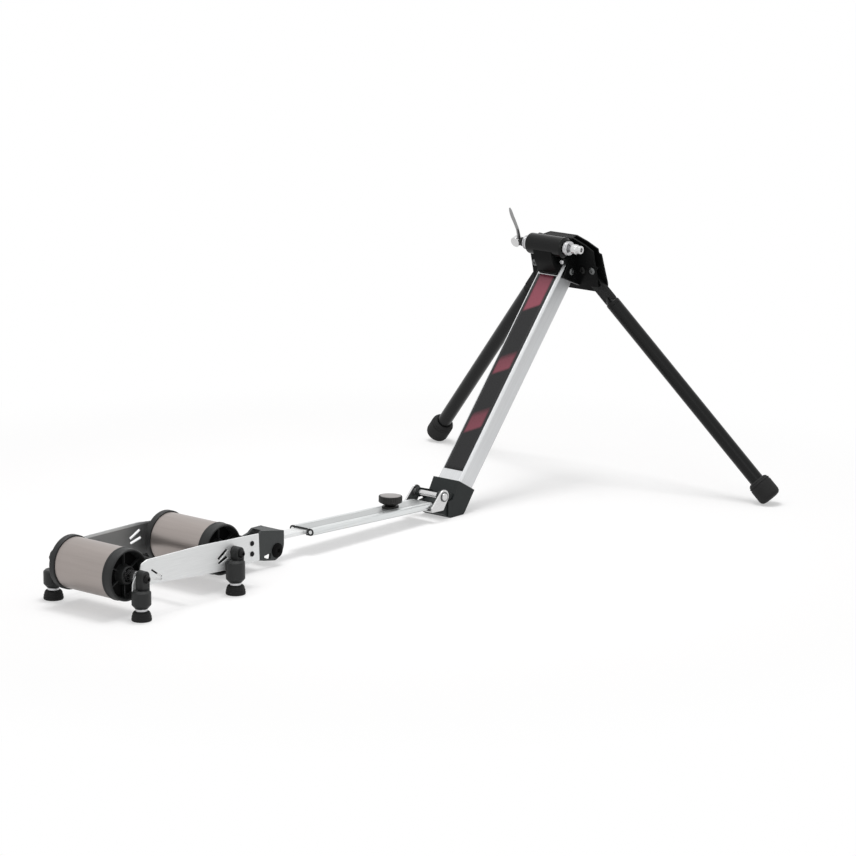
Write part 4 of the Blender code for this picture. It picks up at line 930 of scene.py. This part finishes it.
inner = along_lever([-0.0070, -0.0076, -0.0086, -0.0090, -0.0068, -0.0035, -0.0024, -0.0012])
outer = along_lever([-0.0010, -0.0018, -0.0050, -0.0058, -0.0038, -0.0005, 0.0002, 0.0006])
width = along_lever([0.0036, 0.0036, 0.0034, 0.0030, 0.0032, 0.0035, 0.0030, 0.0010])
turn = np.linspace(0, 2 * math.pi, 24, endpoint=False)[None, :]
sideways = squarish(np.cos(turn)) * width[:, None]
lift = squarish(np.sin(turn)) * (outer - inner)[:, None] / 2
middle = np.array(HUB) + reach[:, None, None] * np.array(LEVER_ALONG)
blade = middle + sideways[..., None] * np.array(LEVER_ACROSS)
blade[..., 1] += lift + (inner + outer)[:, None] / 2
ends = np.repeat(blade.mean(axis=1, keepdims=True)[[0, -1]], blade.shape[1], axis=1)
blade = np.concatenate([ends[:1], blade, ends[1:]])
put("lever_forged", grid(blade), forged, "qr_lever", ["qr_lever"])
hub = mirrored([(-0.0070, 0), (-0.0070, 0.0082), (-0.0062, 0.0090, 0.0005)])
put("lever_hub", lathe(hub, HUB, LEVER_ACROSS), plated, "qr_lever")

# Leg yoke.
# One steel sheet folded over the top makes a small rear plate and a wider front plate. The legs turn between
# them on bolts, and stop against a second bolt on each side. It is coated a duller black.

LEG_TILT, LEG_SPREAD = math.radians(14.1), math.radians(41.45)
LEG_FRAME = Matrix.Translation((ROD_X + 0.3645, 0, 0.386)) @ Matrix.Rotation(-LEG_TILT, 4, "Y")
LEG_PIVOT = 0.042
LEG_RADIUS = 0.0127
BOLT_HALF, BOLT_RADIUS = 0.0075, 0.004
STOP_DOWN = 0.0137  # along the leg, from its pivot to its stop bolt
STOP_ASIDE = LEG_RADIUS + BOLT_RADIUS + 0.0003

yoke = rounded_copy("leg_yoke", 0.0006)
put("yoke_folded", yoke, matt_coat, "post", ["leg_yoke"], moved=False)

cosine, sine = math.cos(LEG_SPREAD), math.sin(LEG_SPREAD)
stop_at = (LEG_PIVOT + STOP_DOWN * sine + STOP_ASIDE * cosine, STOP_ASIDE * sine - STOP_DOWN * cosine)
for side, name in SIDES:
    for what, (y, z) in (("pivot", (LEG_PIVOT, 0)), ("stop", stop_at)):
        rod = mirrored([(-BOLT_HALF, 0), (-BOLT_HALF, BOLT_RADIUS)])
        mesh = lathe(rod, (0, side * y, z), X, steps=32)
        put(f"{what}_bolt_{name}", mesh, zinc, "post", [f"leg_{what}_bolt_{name}"], LEG_FRAME)
        ends = [((way * (BOLT_HALF + 0.0001), side * y, z), (way, 0, 0)) for way in (-1, 1)]
        heads = [bolt_head(*end, 0.0064, 0.0030, 0.0026) for end in ends]
        finish, slot = (coated, "black_paint") if what == "pivot" else (grey_steel, "steel")
        put(f"{what}_bolt_heads_{name}", heads, finish, "post", place=LEG_FRAME)

# Legs.
# Each leg is a round steel tube, coated gloss black, on a cast lug that turns in the yoke. A ribbed rubber
# cap grips the floor.

CAP_RADIUS, CAP_HALF, CAP_ROUNDING = 0.0205, 0.020, 0.008
TUBE_START, TUBE_BORE, LUG_HALF = 0.083, 0.0111, 0.004

for side, name in SIDES:
    pivot = LEG_FRAME @ Vector((0, side * LEG_PIVOT, 0))
    down = Matrix.Translation((0, side * LEG_PIVOT, 0)) @ Matrix.Rotation(side * LEG_SPREAD, 4, "X")
    down = LEG_FRAME @ down @ Matrix.Rotation(math.pi, 4, "X")
    steep = -(down.to_3x3() @ Vector(Z)).z
    flat = math.sqrt(1 - steep * steep)
    low = steep * (CAP_HALF - CAP_ROUNDING) + flat * (CAP_RADIUS - CAP_ROUNDING) + CAP_ROUNDING
    reach = (pivot.z - low) / steep  # the cap's rounded rim then just touches the floor

    tang = [*arc((0, 0), LEG_RADIUS, 180, 360, 32), (LEG_RADIUS, 0.076, 0.004), (-LEG_RADIUS, 0.076, 0.004)]
    hole = circle((0, 0), BOLT_RADIUS + 0.0003)
    lug = plate(soften(tang, 0.001), -LUG_HALF, LUG_HALF, LENGTHWISE, [hole], edge=0.0008)
    neck = [(0.064, 0), (0.064, 0.0040), (0.077, LEG_RADIUS, 0.002), (TUBE_START, LEG_RADIUS)]
    neck += [(TUBE_START, 0.0108), (TUBE_START + 0.020, 0.0108), (TUBE_START + 0.020, 0)]
    meshes = [lug, lathe(neck)]
    put(f"leg_lug_{name}_cast", meshes, gloss, f"leg_{name}", [f"leg_lug_{name}"], down)

    start, stop = TUBE_START + 0.0003, reach + 0.008
    tube = [(start, TUBE_BORE), (start, LEG_RADIUS), (stop, LEG_RADIUS), (stop, TUBE_BORE)]
    mesh = lathe(tube, edge=0.0003, closed=True, steps=96)
    put(f"leg_tube_{name}_coated", mesh, gloss, f"leg_{name}", [f"leg_tube_{name}"], down)

    mouth, foot = reach - CAP_HALF, reach + CAP_HALF
    cap = [(foot, 0), (foot, CAP_RADIUS, CAP_ROUNDING), (mouth + 0.0100, CAP_RADIUS)]
    cap += [(mouth + 0.0094, CAP_RADIUS - 0.0009), (mouth + 0.0078, CAP_RADIUS - 0.0009)]
    cap += [(mouth + 0.0072, CAP_RADIUS - 0.0001), (mouth + 0.0055, CAP_RADIUS - 0.0006)]
    cap += [(mouth + 0.0049, CAP_RADIUS - 0.0018), (mouth + 0.0034, CAP_RADIUS - 0.0020)]
    cap += [(mouth + 0.0028, CAP_RADIUS - 0.0018), (mouth, CAP_RADIUS - 0.0050, 0.001)]
    cap += [(mouth, LEG_RADIUS + 0.0003), (reach + 0.0083, LEG_RADIUS + 0.0003), (reach + 0.0083, 0)]
    mesh = lathe(cap, edge=0.0005, steps=96)
    put(f"leg_cap_{name}_rubber", mesh, rubber, f"leg_{name}", [f"leg_cap_{name}"], down)
